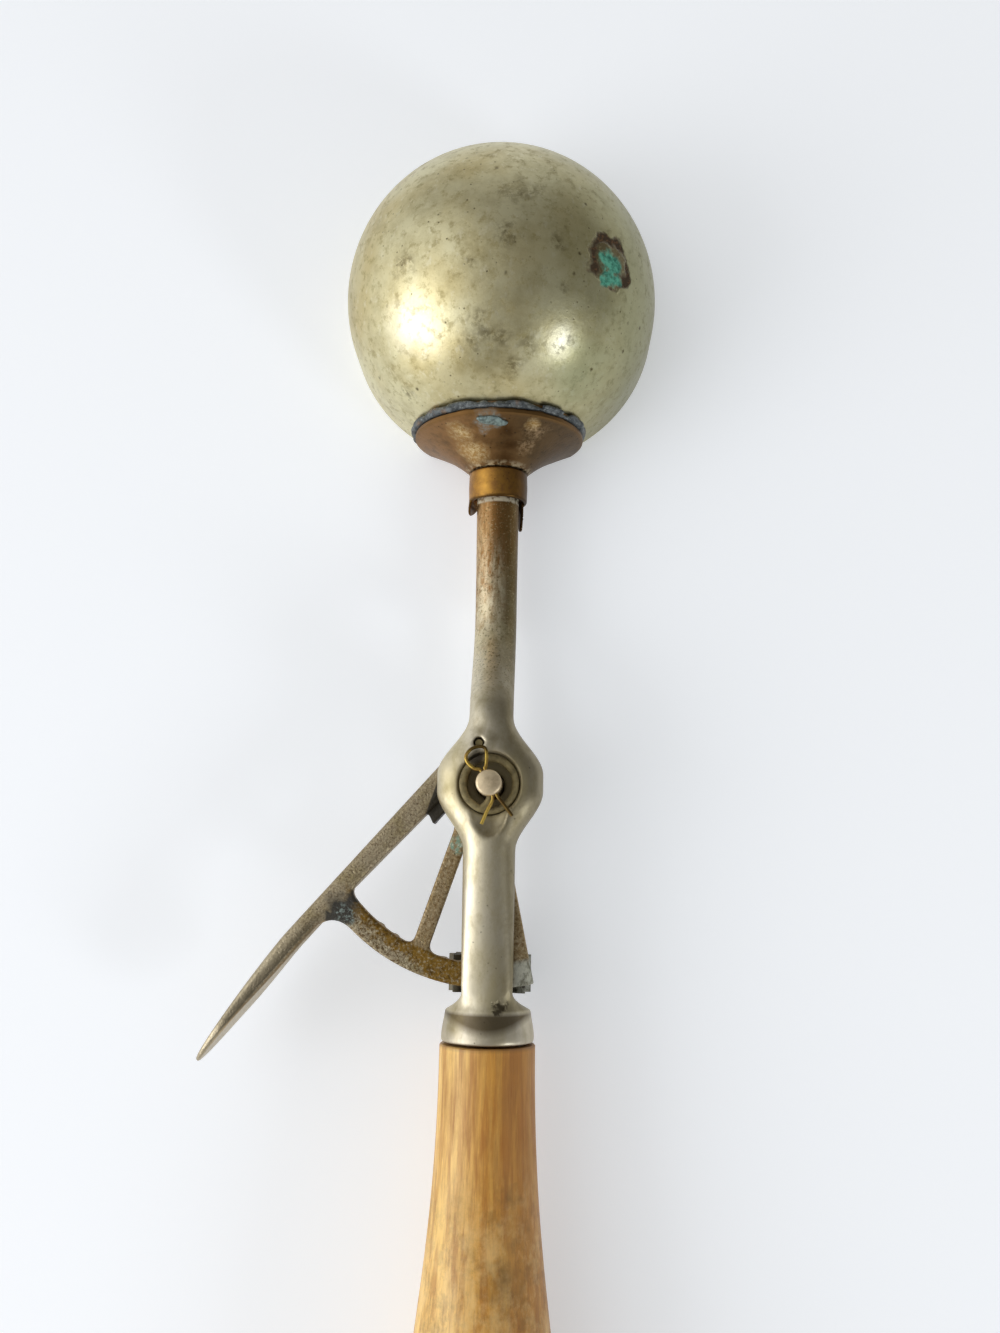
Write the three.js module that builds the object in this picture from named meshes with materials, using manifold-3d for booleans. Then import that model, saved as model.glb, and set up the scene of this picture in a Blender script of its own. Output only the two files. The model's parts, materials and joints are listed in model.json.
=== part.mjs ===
// An ice cream scoop: squeezing the thumb lever turns a toothed sector, the sector drives a pinion on
// a rod inside the shank, and the rod sweeps a scraper blade round the inside of the bowl.
//
// Frame while modelling: the lever's pivot is the Z axis, the drive rod is the Y axis, the bowl lies
// toward +Y with its back up and the lever lies on the -X side. Sizes are millimetres and degrees.

import * as THREE from 'three';
import { mergeVertices } from 'three/addons/utils/BufferGeometryUtils.js';
import ManifoldModule from 'manifold-3d';

// Fits
const clearance = 0.3;
const slidingPlay = 0.4;

// Bowl
const bowlRadius = 28.5;
const bowlWall = 0.9;
const lipHeight = 7.5;
const bowlReach = 90.1;

// Saddle, its solder and the collar under it
const saddleRadius = 15.3;
const saddleEdge = 2.2;
const saddleFlareOut = 0.38;
const saddleFlareRise = 0.6;
const saddleNeckDrop = 3.6;
const saddleNeckRadius = 5.4;
const solderRadius = 0.45;
const collarRadius = 5.25;
const collarLength = 5;
const collarBulge = 0.2;
const collarLipDepth = 1.2;

// Shank, hub and bar of the casting
const shankRadius = 3.85;
const shankWaist = 3.7;
const neckStart = 31;
const neckRun = 21;
const hubRadius = 8.8;
const hubShift = 0.35;
const hubFlat = 1.4;
const hubRun = 11;
const hubHeight = 6.2;
const hubFloor = 1.2;
const wellRadius = 5.3;
const wellLipRadius = 0.8;
const wellTailAt = 4.6;
const wellTailReach = 4.6;
const wellTailRadius = 3.1;
const wellTailDepth = 2.2;
const barHalfWidth = 4.3;
const barHeight = 5.2;
const barEndHeight = 1.5;
const crownShare = 0.7;
const crownSquareness = 2.2;
const soleSquareness = 3;

// Bolster, handle and tang
const bolsterRadius = 7.7;
const bolsterThroat = 4.75;
const bolsterShoulder = 7.1;
const bolsterLength = 6.4;
const bolsterFlare = 1.3;
const bolsterCrease = 1.3;
const flareOut = 0.15;
const flareRun = 0.6;
const barrelRun = 0.3;
const barEndHalfWidth = 4;
const barEndRun = 6;
const handleAxis = 5.5;
const handleNeckRadius = 7.9;
const handleLength = 108.5;
const bellyAt = 76;
const buttRadius = 6.2;
const tangRadius = 2.6;
const tangSocket = 4.8;
const tangHeadRadius = 3.8;
const tangHeadHeight = 1.6;
const buttWasherRadius = 5.2;
const buttWasherThickness = 1;

// Drive rod and scraper
const rodRadius = 2;
const journalRadius = 1.5;
const journalLength = 5.4;
const journalLug = 1.9;
const spigotRadius = 1.2;
const rivetHeadRadius = 2.1;
const rivetHeadHeight = 0.8;
const bladeThickness = 0.8;
const bladeHalfWidth = 4.6;
const earRadius = 3.4;
const burrRadius = 2.7;
const burrThickness = 0.6;

// Gear pair: a spur pinion under a crown sector
const toothModule = 1;
const pinionTeeth = 12;
const crownTeeth = 62;
const pressureAngle = 20;
const toothThinning = 0.34;
const pinionDedendum = 1.25;
const crownAddendum = 0.75;
const pinionFace = 6.2;
const pinionBossRadius = 4;
const pinionBossLength = 4;
const pinionPinRadius = 0.6;
const thrustWasherRadius = 3.6;
const thrustWasherThickness = 0.6;
const rimWidth = 3.9;

// Thumb lever. Its angles are counted from the shank, toward the lever's side
const plateThickness = 2.2;
const barRise = 0.3;
const leverHubRadius = 8.5;
const leverHubDepth = 4.6;
const leverAngle = 41.5;
const leverEdge = 8.85;
const leverRootThickness = 4.3;
const leverRimThickness = 3.1;
const thumbStart = 41;
const thumbThinning = 20;
const thumbSpread = 14;
const thumbReach = 66.2;
const thumbThickness = 1.7;
const thumbTipThickness = 0.6;
const thumbDrop = 10;
const thumbInset = 2.7;
const spokeAngle = 19;
const spokeOffset = 2;
const spokeWidth = 2.7;
const endSpokeAngle = -11.8;
const endSpokeOffset = 0.5;
const windowFillet = 1.6;
const junctionFillet = 5.5;
const rootLugReach = 11.2;
const rootLugSlant = 1.4;
const rootLugWidth = 1.6;
const rootLugHeight = 3.4;

// Pivot pin, washer, spring and split pin
const pinRadius = 2.1;
const pinHeadRadius = 3.6;
const pinHeadHeight = 1;
const pinStandout = 1.5;
const washerRadius = 5;
const washerThickness = 0.6;
const springWire = 0.6;
const springRadius = 4.3;
const springPitch = 1.75;
const springTurns = 2.25;
const springAnchorAngle = 105.5;
const springAnchorReach = 7;
const springHook = 2.4;
const cotterWire = 0.28;
const cotterSpread = 0.36;
const cotterAngle = -25.3;
// The bent eye: how far past the pin, how far to its left
const cotterEye = [
  [0.7, 1.2], [2.1, 1.8], [3.2, 1.5], [3.8, 0.3], [3.6, -1.1], [2.8, -1.8], [1.2, -1.2], [0.2, -0.6],
];
const cotterLegLeft = new THREE.Vector2(5.5, 3.8);
const cotterLegRight = new THREE.Vector2(6.4, -1.25);

// Facets round a full turn
const fineTurn = 52;
const turn = 32;
const smallTurn = 16;
const domeSteps = 12;

const wasm = await ManifoldModule();
wasm.setup();

const radians = THREE.MathUtils.degToRad;
const lerp = THREE.MathUtils.lerp;
const smooth = THREE.MathUtils.smoothstep;

// Heights and places that follow from the sizes above
const bowlInner = bowlRadius - bowlWall;
const bowlHeel = bowlReach - bowlRadius;
const pinionPitchRadius = toothModule * pinionTeeth / 2;
const pinionTipRadius = pinionPitchRadius + toothModule;
const crownPitchRadius = toothModule * crownTeeth / 2;
const rimInner = crownPitchRadius - rimWidth / 2;
const rimOuter = crownPitchRadius + rimWidth / 2;
const plateBottom = pinionTipRadius + clearance;
const plateTop = plateBottom + plateThickness;
const leverTop = plateTop + barRise;
const barBottom = leverTop + slidingPlay;
const barTop = barBottom + barHeight;
const hubTop = barBottom + hubHeight;
const wellFloor = barBottom + hubFloor;
const leverHubBottom = plateTop - leverHubDepth;
const washerTop = barBottom - clearance;
const washerSeat = washerTop - washerThickness - clearance;
const pinionFront = -(crownPitchRadius - pinionFace / 2);
const pinionBack = pinionFront - pinionFace;
const bolsterMouth = pinionBack - clearance;
const thrustBack = bolsterMouth - thrustWasherThickness;
const bolsterFront = thrustBack - clearance;
const bolsterBack = bolsterFront - bolsterLength;
const barEnd = bolsterFront - bolsterCrease;
const neckEnd = neckStart - neckRun;
const bladeRadius = Math.sqrt((bowlInner - clearance) ** 2 - bladeHalfWidth ** 2);
const bellyRadius = handleAxis + lipHeight;
const springLow = wellFloor + clearance + springWire;
const springHigh = springLow + springPitch * springTurns;
const cotterHeight = springHigh + springWire + clearance + cotterWire;
const cotterHole = cotterSpread + cotterWire + clearance;
const pinTop = cotterHeight + pinStandout;

// A closed geometry as a solid that can be joined and cut
function solidOf(geometry) {
  const bare = geometry.clone();
  bare.deleteAttribute('normal');
  bare.deleteAttribute('uv');
  const welded = mergeVertices(bare, 1e-4);
  const position = welded.attributes.position;
  const corners = [];
  let volume = 0;
  const [a, b, c] = [new THREE.Vector3(), new THREE.Vector3(), new THREE.Vector3()];
  for (let i = 0; i < welded.index.count; i += 3) {
    const [p, q, r] = [0, 1, 2].map((k) => welded.index.getX(i + k));
    if (p === q || q === r || r === p) continue;
    corners.push(p, q, r);
    a.fromBufferAttribute(position, p);
    b.fromBufferAttribute(position, q);
    c.fromBufferAttribute(position, r);
    volume += a.dot(b.cross(c));
  }
  if (volume < 0) corners.reverse();
  return new wasm.Manifold(new wasm.Mesh({
    numProp: 3,
    vertProperties: new Float32Array(position.array),
    triVerts: new Uint32Array(corners),
  }));
}

function geometryOf(solid) {
  const { vertProperties, triVerts } = solid.getMesh();
  const geometry = new THREE.BufferGeometry();
  geometry.setAttribute('position', new THREE.BufferAttribute(new Float32Array(vertProperties), 3));
  geometry.setIndex(new THREE.BufferAttribute(new Uint32Array(triVerts), 1));
  geometry.computeVertexNormals();
  return geometry;
}

const joined = (...solids) => solids.reduce((whole, next) => whole.add(next));
const cut = (solid, ...tools) => tools.reduce((rest, tool) => rest.subtract(tool), solid);

// Revolved round Y: each profile point is [radius, y]
function turned(profile, facets = turn) {
  const points = profile.map(([r, y]) => new THREE.Vector2(Math.max(r, 0), y));
  return new THREE.LatheGeometry(points, facets);
}

// Revolved round Z: each profile point is [radius, z]
const turnedUpright = (profile, facets = turn) => turned(profile, facets).rotateX(Math.PI / 2);

const rod = (radius, from, to, facets = turn) =>
  turned([[0, from], [radius, from], [radius, to], [0, to]], facets);

const ring = (inner, outer, from, to) =>
  [[inner, from], [outer, from], [outer, to], [inner, to], [inner, from]];

const pillar = (radius, from, to, facets = turn) => rod(radius, from, to, facets).rotateX(Math.PI / 2);

// A skin over closed rings of equally many points, with both ends capped
function loft(rings) {
  const sides = rings[0].length;
  const points = rings.flat();
  const ends = [rings[0], rings.at(-1)];
  const middles = ends.map((end) =>
    end.reduce((sum, p) => sum.add(p), new THREE.Vector3()).divideScalar(sides));
  const index = [];
  for (let i = 0; i + 1 < rings.length; i += 1) {
    for (let k = 0; k < sides; k += 1) {
      const [a, b] = [i * sides + k, i * sides + (k + 1) % sides];
      index.push(a, b, b + sides, a, b + sides, a + sides);
    }
  }
  const first = points.length;
  const lastRing = (rings.length - 1) * sides;
  for (let k = 0; k < sides; k += 1) {
    const next = (k + 1) % sides;
    index.push(first, next, k);
    index.push(first + 1, lastRing + k, lastRing + next);
  }
  const geometry = new THREE.BufferGeometry().setFromPoints([...points, ...middles]);
  geometry.setIndex(index);
  return geometry;
}

// A round wire along a run of points, its section carried along without twisting
function wire(points, radius, sides) {
  const side = new THREE.Vector3();
  const rings = points.map((point, i) => {
    const ahead = points[Math.min(i + 1, points.length - 1)];
    const behind = points[Math.max(i - 1, 0)];
    const along = ahead.clone().sub(behind).normalize();
    if (i === 0) side.set(along.y, along.z, along.x).cross(along);
    side.addScaledVector(along, -side.dot(along)).normalize();
    const up = along.clone().cross(side);
    return Array.from({ length: sides }, (_, k) => {
      const angle = 2 * Math.PI * k / sides;
      return point.clone()
        .addScaledVector(side, radius * Math.cos(angle))
        .addScaledVector(up, radius * Math.sin(angle));
    });
  });
  return loft(rings);
}

// A flat outline raised from one height to another
function raised(shape, from, to, curveSegments = 12) {
  const settings = { depth: to - from, bevelEnabled: false, curveSegments };
  return new THREE.ExtrudeGeometry(shape, settings).translate(0, 0, from);
}

// A point on a line that leaves the pivot at an angle from the shank: so far along, so far to its left
function along(angle, reach, offset = 0) {
  const [s, c] = [Math.sin(radians(angle)), Math.cos(radians(angle))];
  return new THREE.Vector2(-s * reach - c * offset, -c * reach + s * offset);
}

const lift = (point, z) => new THREE.Vector3(point.x, point.y, z);
const polar = (radius, angle, z) =>
  new THREE.Vector3(radius * Math.cos(radians(angle)), radius * Math.sin(radians(angle)), z);

// Height along Y of the bowl's outside, grown by a gap, at a distance from the rod's axis
const bowlFace = (radius, gap) => bowlReach - Math.sqrt((bowlRadius + gap) ** 2 - radius ** 2);

// The bowl's outline, hemisphere and lip, as a filled solid of the given radius
function bowlForm(radius, mouth) {
  const dome = Array.from({ length: domeSteps + 1 }, (_, i) => {
    const angle = Math.PI / 2 * i / domeSteps;
    return [radius * Math.cos(angle), radius * Math.sin(angle)];
  });
  return solidOf(turnedUpright([[0, mouth], [radius, mouth], ...dome], fineTurn).translate(0, bowlReach, 0));
}

function bowl() {
  const heelHole = solidOf(rod(rodRadius + clearance, 0, bowlReach, smallTurn));
  const toeHole = solidOf(rod(spigotRadius + clearance, bowlReach, bowlReach + 2 * bowlRadius, smallTurn));
  return cut(bowlForm(bowlRadius, -lipHeight), bowlForm(bowlInner, -2 * lipHeight), heelHole, toeHole);
}

// Everything below the plane of the bowl's mouth
function belowMouth() {
  const reach = 4 * saddleRadius;
  const block = new THREE.BoxGeometry(reach, reach, reach);
  return solidOf(block.translate(0, bowlHeel, -lipHeight - reach / 2));
}

function saddle() {
  const neck = bowlHeel - saddleNeckDrop;
  const edge = bowlFace(saddleRadius, clearance) - saddleEdge;
  const flare = new THREE.QuadraticBezierCurve(
    new THREE.Vector2(saddleNeckRadius, neck),
    new THREE.Vector2(
      lerp(saddleNeckRadius, saddleRadius, saddleFlareOut),
      lerp(neck, edge, saddleFlareRise),
    ),
    new THREE.Vector2(saddleRadius, edge),
  );
  const bore = shankRadius + clearance;
  const top = edge + saddleEdge + bowlRadius / 4;
  const profile = [
    [bore, neck],
    ...flare.getPoints(8).map((p) => [p.x, p.y]),
    [saddleRadius, top],
    [bore, top],
    [bore, neck],
  ];
  const bowlRoom = bowlForm(bowlRadius + clearance, -3 * lipHeight);
  return cut(solidOf(turned(profile, fineTurn)), bowlRoom, belowMouth());
}

function solderBead() {
  const reach = saddleRadius + clearance + solderRadius;
  const bead = new THREE.TorusGeometry(reach, solderRadius, 6, fineTurn).rotateX(Math.PI / 2);
  bead.translate(0, bowlFace(reach, clearance + solderRadius), 0);
  return cut(solidOf(bead), bowlForm(bowlRadius + clearance, -3 * lipHeight), belowMouth());
}

function collar() {
  const top = bowlHeel - saddleNeckDrop - clearance;
  const bottom = top - collarLength;
  const bore = shankRadius + clearance;
  const outside = new THREE.QuadraticBezierCurve(
    new THREE.Vector2(collarRadius, bottom),
    new THREE.Vector2(collarRadius + 2 * collarBulge, (top + bottom) / 2),
    new THREE.Vector2(collarRadius, top),
  );
  return solidOf(turned([
    [bore, top],
    [bore, bottom + collarLipDepth],
    [lerp(bore, collarRadius, 0.5), bottom],
    ...outside.getPoints(6).map((p) => [p.x, p.y]),
    [bore, top],
  ]));
}

// One cross-section of the casting, square to Y, between the bowl and the bolster
function castingSection(y) {
  const rise = 1 - smooth(y, neckEnd, neckStart);
  const taper = smooth(y, neckStart, bowlHeel);
  const tube = lerp(shankWaist, shankRadius, taper);
  const swell = 1 - smooth(Math.abs(y - hubShift), hubFlat, hubRun);
  const fade = 1 - smooth(y, barEnd, barEnd + barEndRun);
  const side = lerp(lerp(tube, barHalfWidth, rise), barEndHalfWidth, fade);
  const halfWidth = lerp(side, hubRadius, swell);
  const slope = THREE.MathUtils.clamp((y + neckEnd) / (barEnd + neckEnd), 0, 1);
  const crown = lerp(lerp(tube, barTop, rise), barBottom + barEndHeight, slope);
  const top = lerp(crown, hubTop, swell);
  const bottom = lerp(-tube, barBottom, rise);
  const widest = lerp(top, bottom, lerp(0.5, crownShare, rise));
  const squareness = { crown: lerp(2, crownSquareness, rise), sole: lerp(2, soleSquareness, rise) };
  return { halfWidth, top, bottom, widest, squareness };
}

function castingRing(y, sides) {
  const { halfWidth, top, bottom, widest, squareness } = castingSection(y);
  return Array.from({ length: sides }, (_, k) => {
    const angle = 2 * Math.PI * k / sides;
    const upper = k < sides / 2;
    const power = 2 / (upper ? squareness.crown : squareness.sole);
    const bulge = (value) => Math.sign(value) * Math.abs(value) ** power;
    const z = widest + (upper ? top - widest : widest - bottom) * bulge(Math.sin(angle));
    return new THREE.Vector3(halfWidth * bulge(Math.cos(angle)), y, z);
  });
}

// Evenly spaced values from one end to the other, the last left out
const steps = (from, to, count) => Array.from({ length: count }, (_, i) => lerp(from, to, i / count));

function springAnchor() {
  const start = polar(springAnchorReach, springAnchorAngle, springLow);
  return [start.clone().setZ(springLow + springHook), start];
}

// The spring's wire: hooked up in the hub's anchor hole, wound round the pin, its end turned into the pin
function springRun(stepsPerTurn) {
  const lead = THREE.MathUtils.radToDeg(Math.acos(springRadius / springAnchorReach));
  const startAngle = springAnchorAngle + lead;
  const endAngle = startAngle + 360 * springTurns;
  const count = Math.round(springTurns * stepsPerTurn);
  const coil = Array.from({ length: count + 1 }, (_, i) => {
    const share = i / count;
    return polar(springRadius, lerp(startAngle, endAngle, share), lerp(springLow, springHigh, share));
  });
  const inward = [0.86, 0.62, 0.34, 0.14].map((share, i) =>
    polar(springRadius * share, endAngle + 12 * (i + 1), springHigh));
  return { run: [...springAnchor(), ...coil, ...inward], tail: inward };
}

// Least gap between stretches of the wire that are not next to each other along it
function leastGap(points, radius) {
  const apart = 4 * radius;
  const reach = [0];
  points.forEach((p, i) => {
    if (i > 0) reach.push(reach[i - 1] + p.distanceTo(points[i - 1]));
  });
  let least = Infinity;
  points.forEach((p, i) => points.forEach((q, k) => {
    if (reach[k] - reach[i] > apart) least = Math.min(least, p.distanceTo(q));
  }));
  return least - 2 * radius;
}

function returnSpring() {
  const { run } = springRun(16);
  const dense = new THREE.CatmullRomCurve3(run, false, 'centripetal').getPoints(600);
  console.log(`return_spring: least gap to itself ${leastGap(dense, springWire).toFixed(2)} mm`);
  return solidOf(wire(run, springWire, 6));
}

// The bell-shaped shoulder ahead of the handle, hollowed for the pinion and for the sweep of the rim
function bolster() {
  const tip = bolsterFront + bolsterFlare;
  const flare = new THREE.QuadraticBezierCurve(
    new THREE.Vector2(bolsterThroat, tip),
    new THREE.Vector2(lerp(bolsterThroat, bolsterShoulder, flareOut), lerp(tip, barEnd, flareRun)),
    new THREE.Vector2(bolsterShoulder, barEnd),
  );
  const barrel = new THREE.QuadraticBezierCurve(
    new THREE.Vector2(bolsterShoulder, barEnd),
    new THREE.Vector2(bolsterRadius, lerp(barEnd, bolsterBack, barrelRun)),
    new THREE.Vector2(bolsterRadius, bolsterBack),
  );
  const outside = [...flare.getPoints(5), ...barrel.getPoints(5).slice(1)].map((p) => [p.x, p.y]);
  const form = turned([[0, tip], ...outside, [0, bolsterBack]]);
  const pinionSpace = solidOf(rod(pinionTipRadius + slidingPlay, bolsterMouth, 0));
  const rimSpace = solidOf(pillar(rimOuter + slidingPlay, -barBottom, barBottom, 2 * fineTurn));
  return cut(solidOf(form.translate(0, 0, handleAxis)), pinionSpace, rimSpace);
}

function shankFrame() {
  const stations = [
    bowlHeel - clearance,
    ...steps(lerp(bowlHeel, neckStart, 0.5), neckStart, 2),
    ...steps(neckStart, neckEnd, 9),
    ...steps(neckEnd, -neckEnd, 18),
    ...steps(-neckEnd, barEnd + barEndRun, 4),
    ...steps(barEnd + barEndRun, barEnd, 6),
    barEnd,
  ];
  const body = solidOf(loft(stations.map((y) => castingRing(y, 24))));
  const lug = rod(journalRadius + clearance + journalLug, bolsterFront, bolsterBack);
  const casting = joined(body, bolster(), solidOf(lug));

  const washerSpace = solidOf(rod(thrustWasherRadius + clearance, bolsterFront, bolsterMouth + clearance));
  const rodBore = solidOf(rod(rodRadius + clearance, 0, 2 * bowlReach, smallTurn));
  const journal = bolsterFront - journalLength - clearance;
  const journalBore = solidOf(rod(journalRadius + clearance, journal, 0, smallTurn));
  const socket = rod(tangRadius + clearance, bolsterBack + tangSocket, 2 * bolsterBack, smallTurn);
  const pinBore = solidOf(pillar(pinRadius + clearance, 0, 2 * hubTop, smallTurn));
  const lip = hubTop - wellLipRadius;
  const well = turnedUpright([
    [0, wellFloor],
    [wellRadius - wellLipRadius, wellFloor],
    [wellRadius, wellFloor + wellLipRadius],
    [wellRadius, lip],
    [wellRadius + wellLipRadius, hubTop + clearance],
    [0, hubTop + clearance],
  ]);
  const tail = new THREE.SphereGeometry(1, turn, smallTurn)
    .scale(wellTailRadius, wellTailReach, wellTailDepth);
  const anchorHole = pillar(springWire + clearance, wellFloor, 2 * hubTop, smallTurn);
  const anchor = springAnchor()[1];
  anchorHole.translate(anchor.x, anchor.y, 0);
  const anchorSlot = wire(springRun(16).run.slice(1, 3), springWire + clearance, 8);
  return cut(
    casting,
    rodBore,
    journalBore,
    washerSpace,
    solidOf(socket.translate(0, 0, handleAxis)),
    pinBore,
    solidOf(well),
    solidOf(tail.translate(0, -wellTailAt, hubTop)),
    solidOf(anchorHole),
    solidOf(anchorSlot),
  );
}

function driveRod() {
  const ear = bowlReach - bladeRadius;
  const shoulder = ear - clearance;
  const burrFace = ear + bladeThickness + clearance + burrThickness;
  const headBase = burrFace + clearance;
  return cut(
    solidOf(turned([
      [0, bolsterFront - journalLength],
      [journalRadius, bolsterFront - journalLength],
      [journalRadius, bolsterFront + clearance],
      [rodRadius, bolsterFront + clearance],
      [rodRadius, shoulder],
      [spigotRadius, shoulder],
      [spigotRadius, headBase],
      [rivetHeadRadius, headBase],
      [rivetHeadRadius * 0.7, headBase + rivetHeadHeight],
      [0, headBase + rivetHeadHeight],
    ], smallTurn)),
    pinionPinHole(),
  );
}

function scraperBlade() {
  const inner = bladeRadius - bladeThickness;
  const strip = steps(-90, 90, 36).concat(90).map((angle) => {
    const half = lerp(earRadius - clearance, bladeHalfWidth, Math.cos(radians(angle)) ** 0.7);
    const out = new THREE.Vector2(-Math.cos(radians(angle)), Math.sin(radians(angle)));
    return [[inner, -half], [bladeRadius, -half], [bladeRadius, half], [inner, half]].map(([r, z]) =>
      new THREE.Vector3(out.x * r, bowlReach + out.y * r, z));
  });
  const ears = [bowlReach - bladeRadius, bowlReach + bladeRadius - bladeThickness].map((y) =>
    solidOf(rod(earRadius, y, y + bladeThickness, smallTurn)));
  const hole = solidOf(rod(spigotRadius + clearance, 0, 2 * bowlReach, smallTurn));
  return cut(joined(solidOf(loft(strip)), ...ears), hole);
}

function heelBurr() {
  const seat = bowlReach - bladeRadius + bladeThickness + clearance;
  return solidOf(turned(ring(spigotRadius + clearance, burrRadius, seat, seat + burrThickness), smallTurn));
}

function toeRivet() {
  const ear = bowlReach + bladeRadius - bladeThickness;
  const inside = ear - clearance;
  const outside = bowlReach + bowlRadius + clearance / 2;
  return solidOf(turned([
    [0, inside - rivetHeadHeight],
    [rivetHeadRadius * 0.7, inside - rivetHeadHeight],
    [rivetHeadRadius, inside],
    [spigotRadius, inside],
    [spigotRadius, outside],
    [burrRadius, outside],
    [burrRadius * 0.75, outside + rivetHeadHeight * 0.7],
    [0, outside + rivetHeadHeight],
  ], smallTurn));
}

// Half the angle that a pinion tooth takes up at a radius: an involute flank, straight below its base
function toothHalfAngle(radius) {
  const involute = (angle) => Math.tan(angle) - angle;
  const base = pinionPitchRadius * Math.cos(radians(pressureAngle));
  const atPitch = (Math.PI * toothModule / 2 - toothThinning) / (2 * pinionPitchRadius);
  const lean = Math.acos(Math.min(1, base / Math.max(radius, base)));
  return atPitch + involute(radians(pressureAngle)) - involute(lean);
}

function pinionOutline() {
  const root = pinionPitchRadius - pinionDedendum;
  const flankRadius = lerp(root, pinionTipRadius, 0.3);
  const radii = [root, flankRadius, pinionPitchRadius, pinionTipRadius - 0.4, pinionTipRadius];
  const points = [];
  for (let tooth = 0; tooth < pinionTeeth; tooth += 1) {
    const middle = Math.PI / 2 + 2 * Math.PI * tooth / pinionTeeth;
    const place = (radius, side) => {
      const angle = middle + side * toothHalfAngle(radius);
      points.push(new THREE.Vector2(radius * Math.cos(angle), radius * Math.sin(angle)));
    };
    radii.forEach((radius) => place(radius, -1));
    radii.toReversed().forEach((radius) => place(radius, 1));
  }
  return new THREE.Shape(points);
}

function pinionPinHole() {
  const middle = pinionFront + pinionBossLength / 2;
  const hole = rod(pinionPinRadius + clearance, -3 * pinionBossRadius, 3 * pinionBossRadius, smallTurn);
  return solidOf(hole.rotateZ(Math.PI / 2).translate(0, middle, 0));
}

function pinion() {
  const gear = raised(pinionOutline(), 0, pinionFace).rotateX(Math.PI / 2).translate(0, pinionFront, 0);
  const boss = rod(pinionBossRadius, pinionFront - pinionFace / 2, pinionFront + pinionBossLength);
  const bore = rod(rodRadius + clearance, 2 * pinionBack, 0, smallTurn);
  return cut(joined(solidOf(gear), solidOf(boss)), solidOf(bore), pinionPinHole());
}

function pinionPin() {
  const middle = pinionFront + pinionBossLength / 2;
  const pin = rod(pinionPinRadius, -pinionBossRadius, pinionBossRadius, smallTurn);
  return solidOf(pin.rotateZ(Math.PI / 2).translate(0, middle, 0));
}

function thrustWasher() {
  const thrustFront = thrustBack + thrustWasherThickness;
  const profile = ring(rodRadius + clearance, thrustWasherRadius, thrustBack, thrustFront);
  return solidOf(turned(profile));
}

// One crown tooth: straight flanks like a rack's, growing with the distance from the pivot
function crownTooth(angle) {
  const pitch = Math.PI * toothModule;
  const lean = Math.tan(radians(pressureAngle));
  const atPitch = pitch / 4 - toothThinning / 2;
  const tip = pinionPitchRadius - crownAddendum;
  const root = plateBottom + plateThickness / 2;
  const tipHalf = atPitch - crownAddendum * lean;
  const rootHalf = atPitch + (plateBottom - pinionPitchRadius) * lean;
  const rings = [rimInner, rimOuter].map((reach) => {
    const growth = reach / crownPitchRadius;
    return [[-rootHalf, root], [-rootHalf, plateBottom], [-tipHalf, tip], [tipHalf, tip],
      [rootHalf, plateBottom], [rootHalf, root]].map(([offset, z]) =>
      lift(along(angle, reach, offset * growth), z));
  });
  return solidOf(loft(rings));
}

// Where a line, given by two of its points, leaves a circle round the pivot
function meetCircle([from, to], radius) {
  const heading = to.clone().sub(from).normalize();
  const foot = from.dot(heading);
  const half = Math.sqrt(radius ** 2 - from.lengthSq() + foot ** 2);
  return from.clone().addScaledVector(heading, half - foot);
}

// An opening between two straight edges and two arcs round the pivot, its corners rounded
function windowBetween(leftEdge, rightEdge, inner, outer) {
  const shape = new THREE.Path();
  const toward = (p, q) => p.clone().addScaledVector(q.clone().sub(p).normalize(), windowFillet);
  const [a0, a1] = [meetCircle(leftEdge, inner), meetCircle(leftEdge, outer)];
  const [b0, b1] = [meetCircle(rightEdge, inner), meetCircle(rightEdge, outer)];
  const innerTurn = windowFillet / 2 / inner;
  const outerTurn = windowFillet / outer;
  const arcEnd = (angle, radius) => new THREE.Vector2(radius * Math.cos(angle), radius * Math.sin(angle));
  const [a0Angle, a1Angle, b0Angle, b1Angle] = [a0, a1, b0, b1].map((p) => Math.atan2(p.y, p.x));
  const corner = (at, end) => shape.quadraticCurveTo(at.x, at.y, end.x, end.y);
  const start = toward(a0, a1);
  shape.moveTo(start.x, start.y);
  const outward = toward(a1, a0);
  shape.lineTo(outward.x, outward.y);
  corner(a1, arcEnd(a1Angle + outerTurn, outer));
  shape.absarc(0, 0, outer, a1Angle + outerTurn, b1Angle - outerTurn, false);
  corner(b1, toward(b1, b0));
  const inwardEnd = toward(b0, b1);
  shape.lineTo(inwardEnd.x, inwardEnd.y);
  corner(b0, arcEnd(b0Angle - innerTurn, inner));
  shape.absarc(0, 0, inner, b0Angle - innerTurn, a0Angle + innerTurn, true);
  corner(a0, start);
  return shape;
}

const lineAlong = (angle, offset) => [along(angle, 0, offset), along(angle, rimOuter, offset)];

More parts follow.
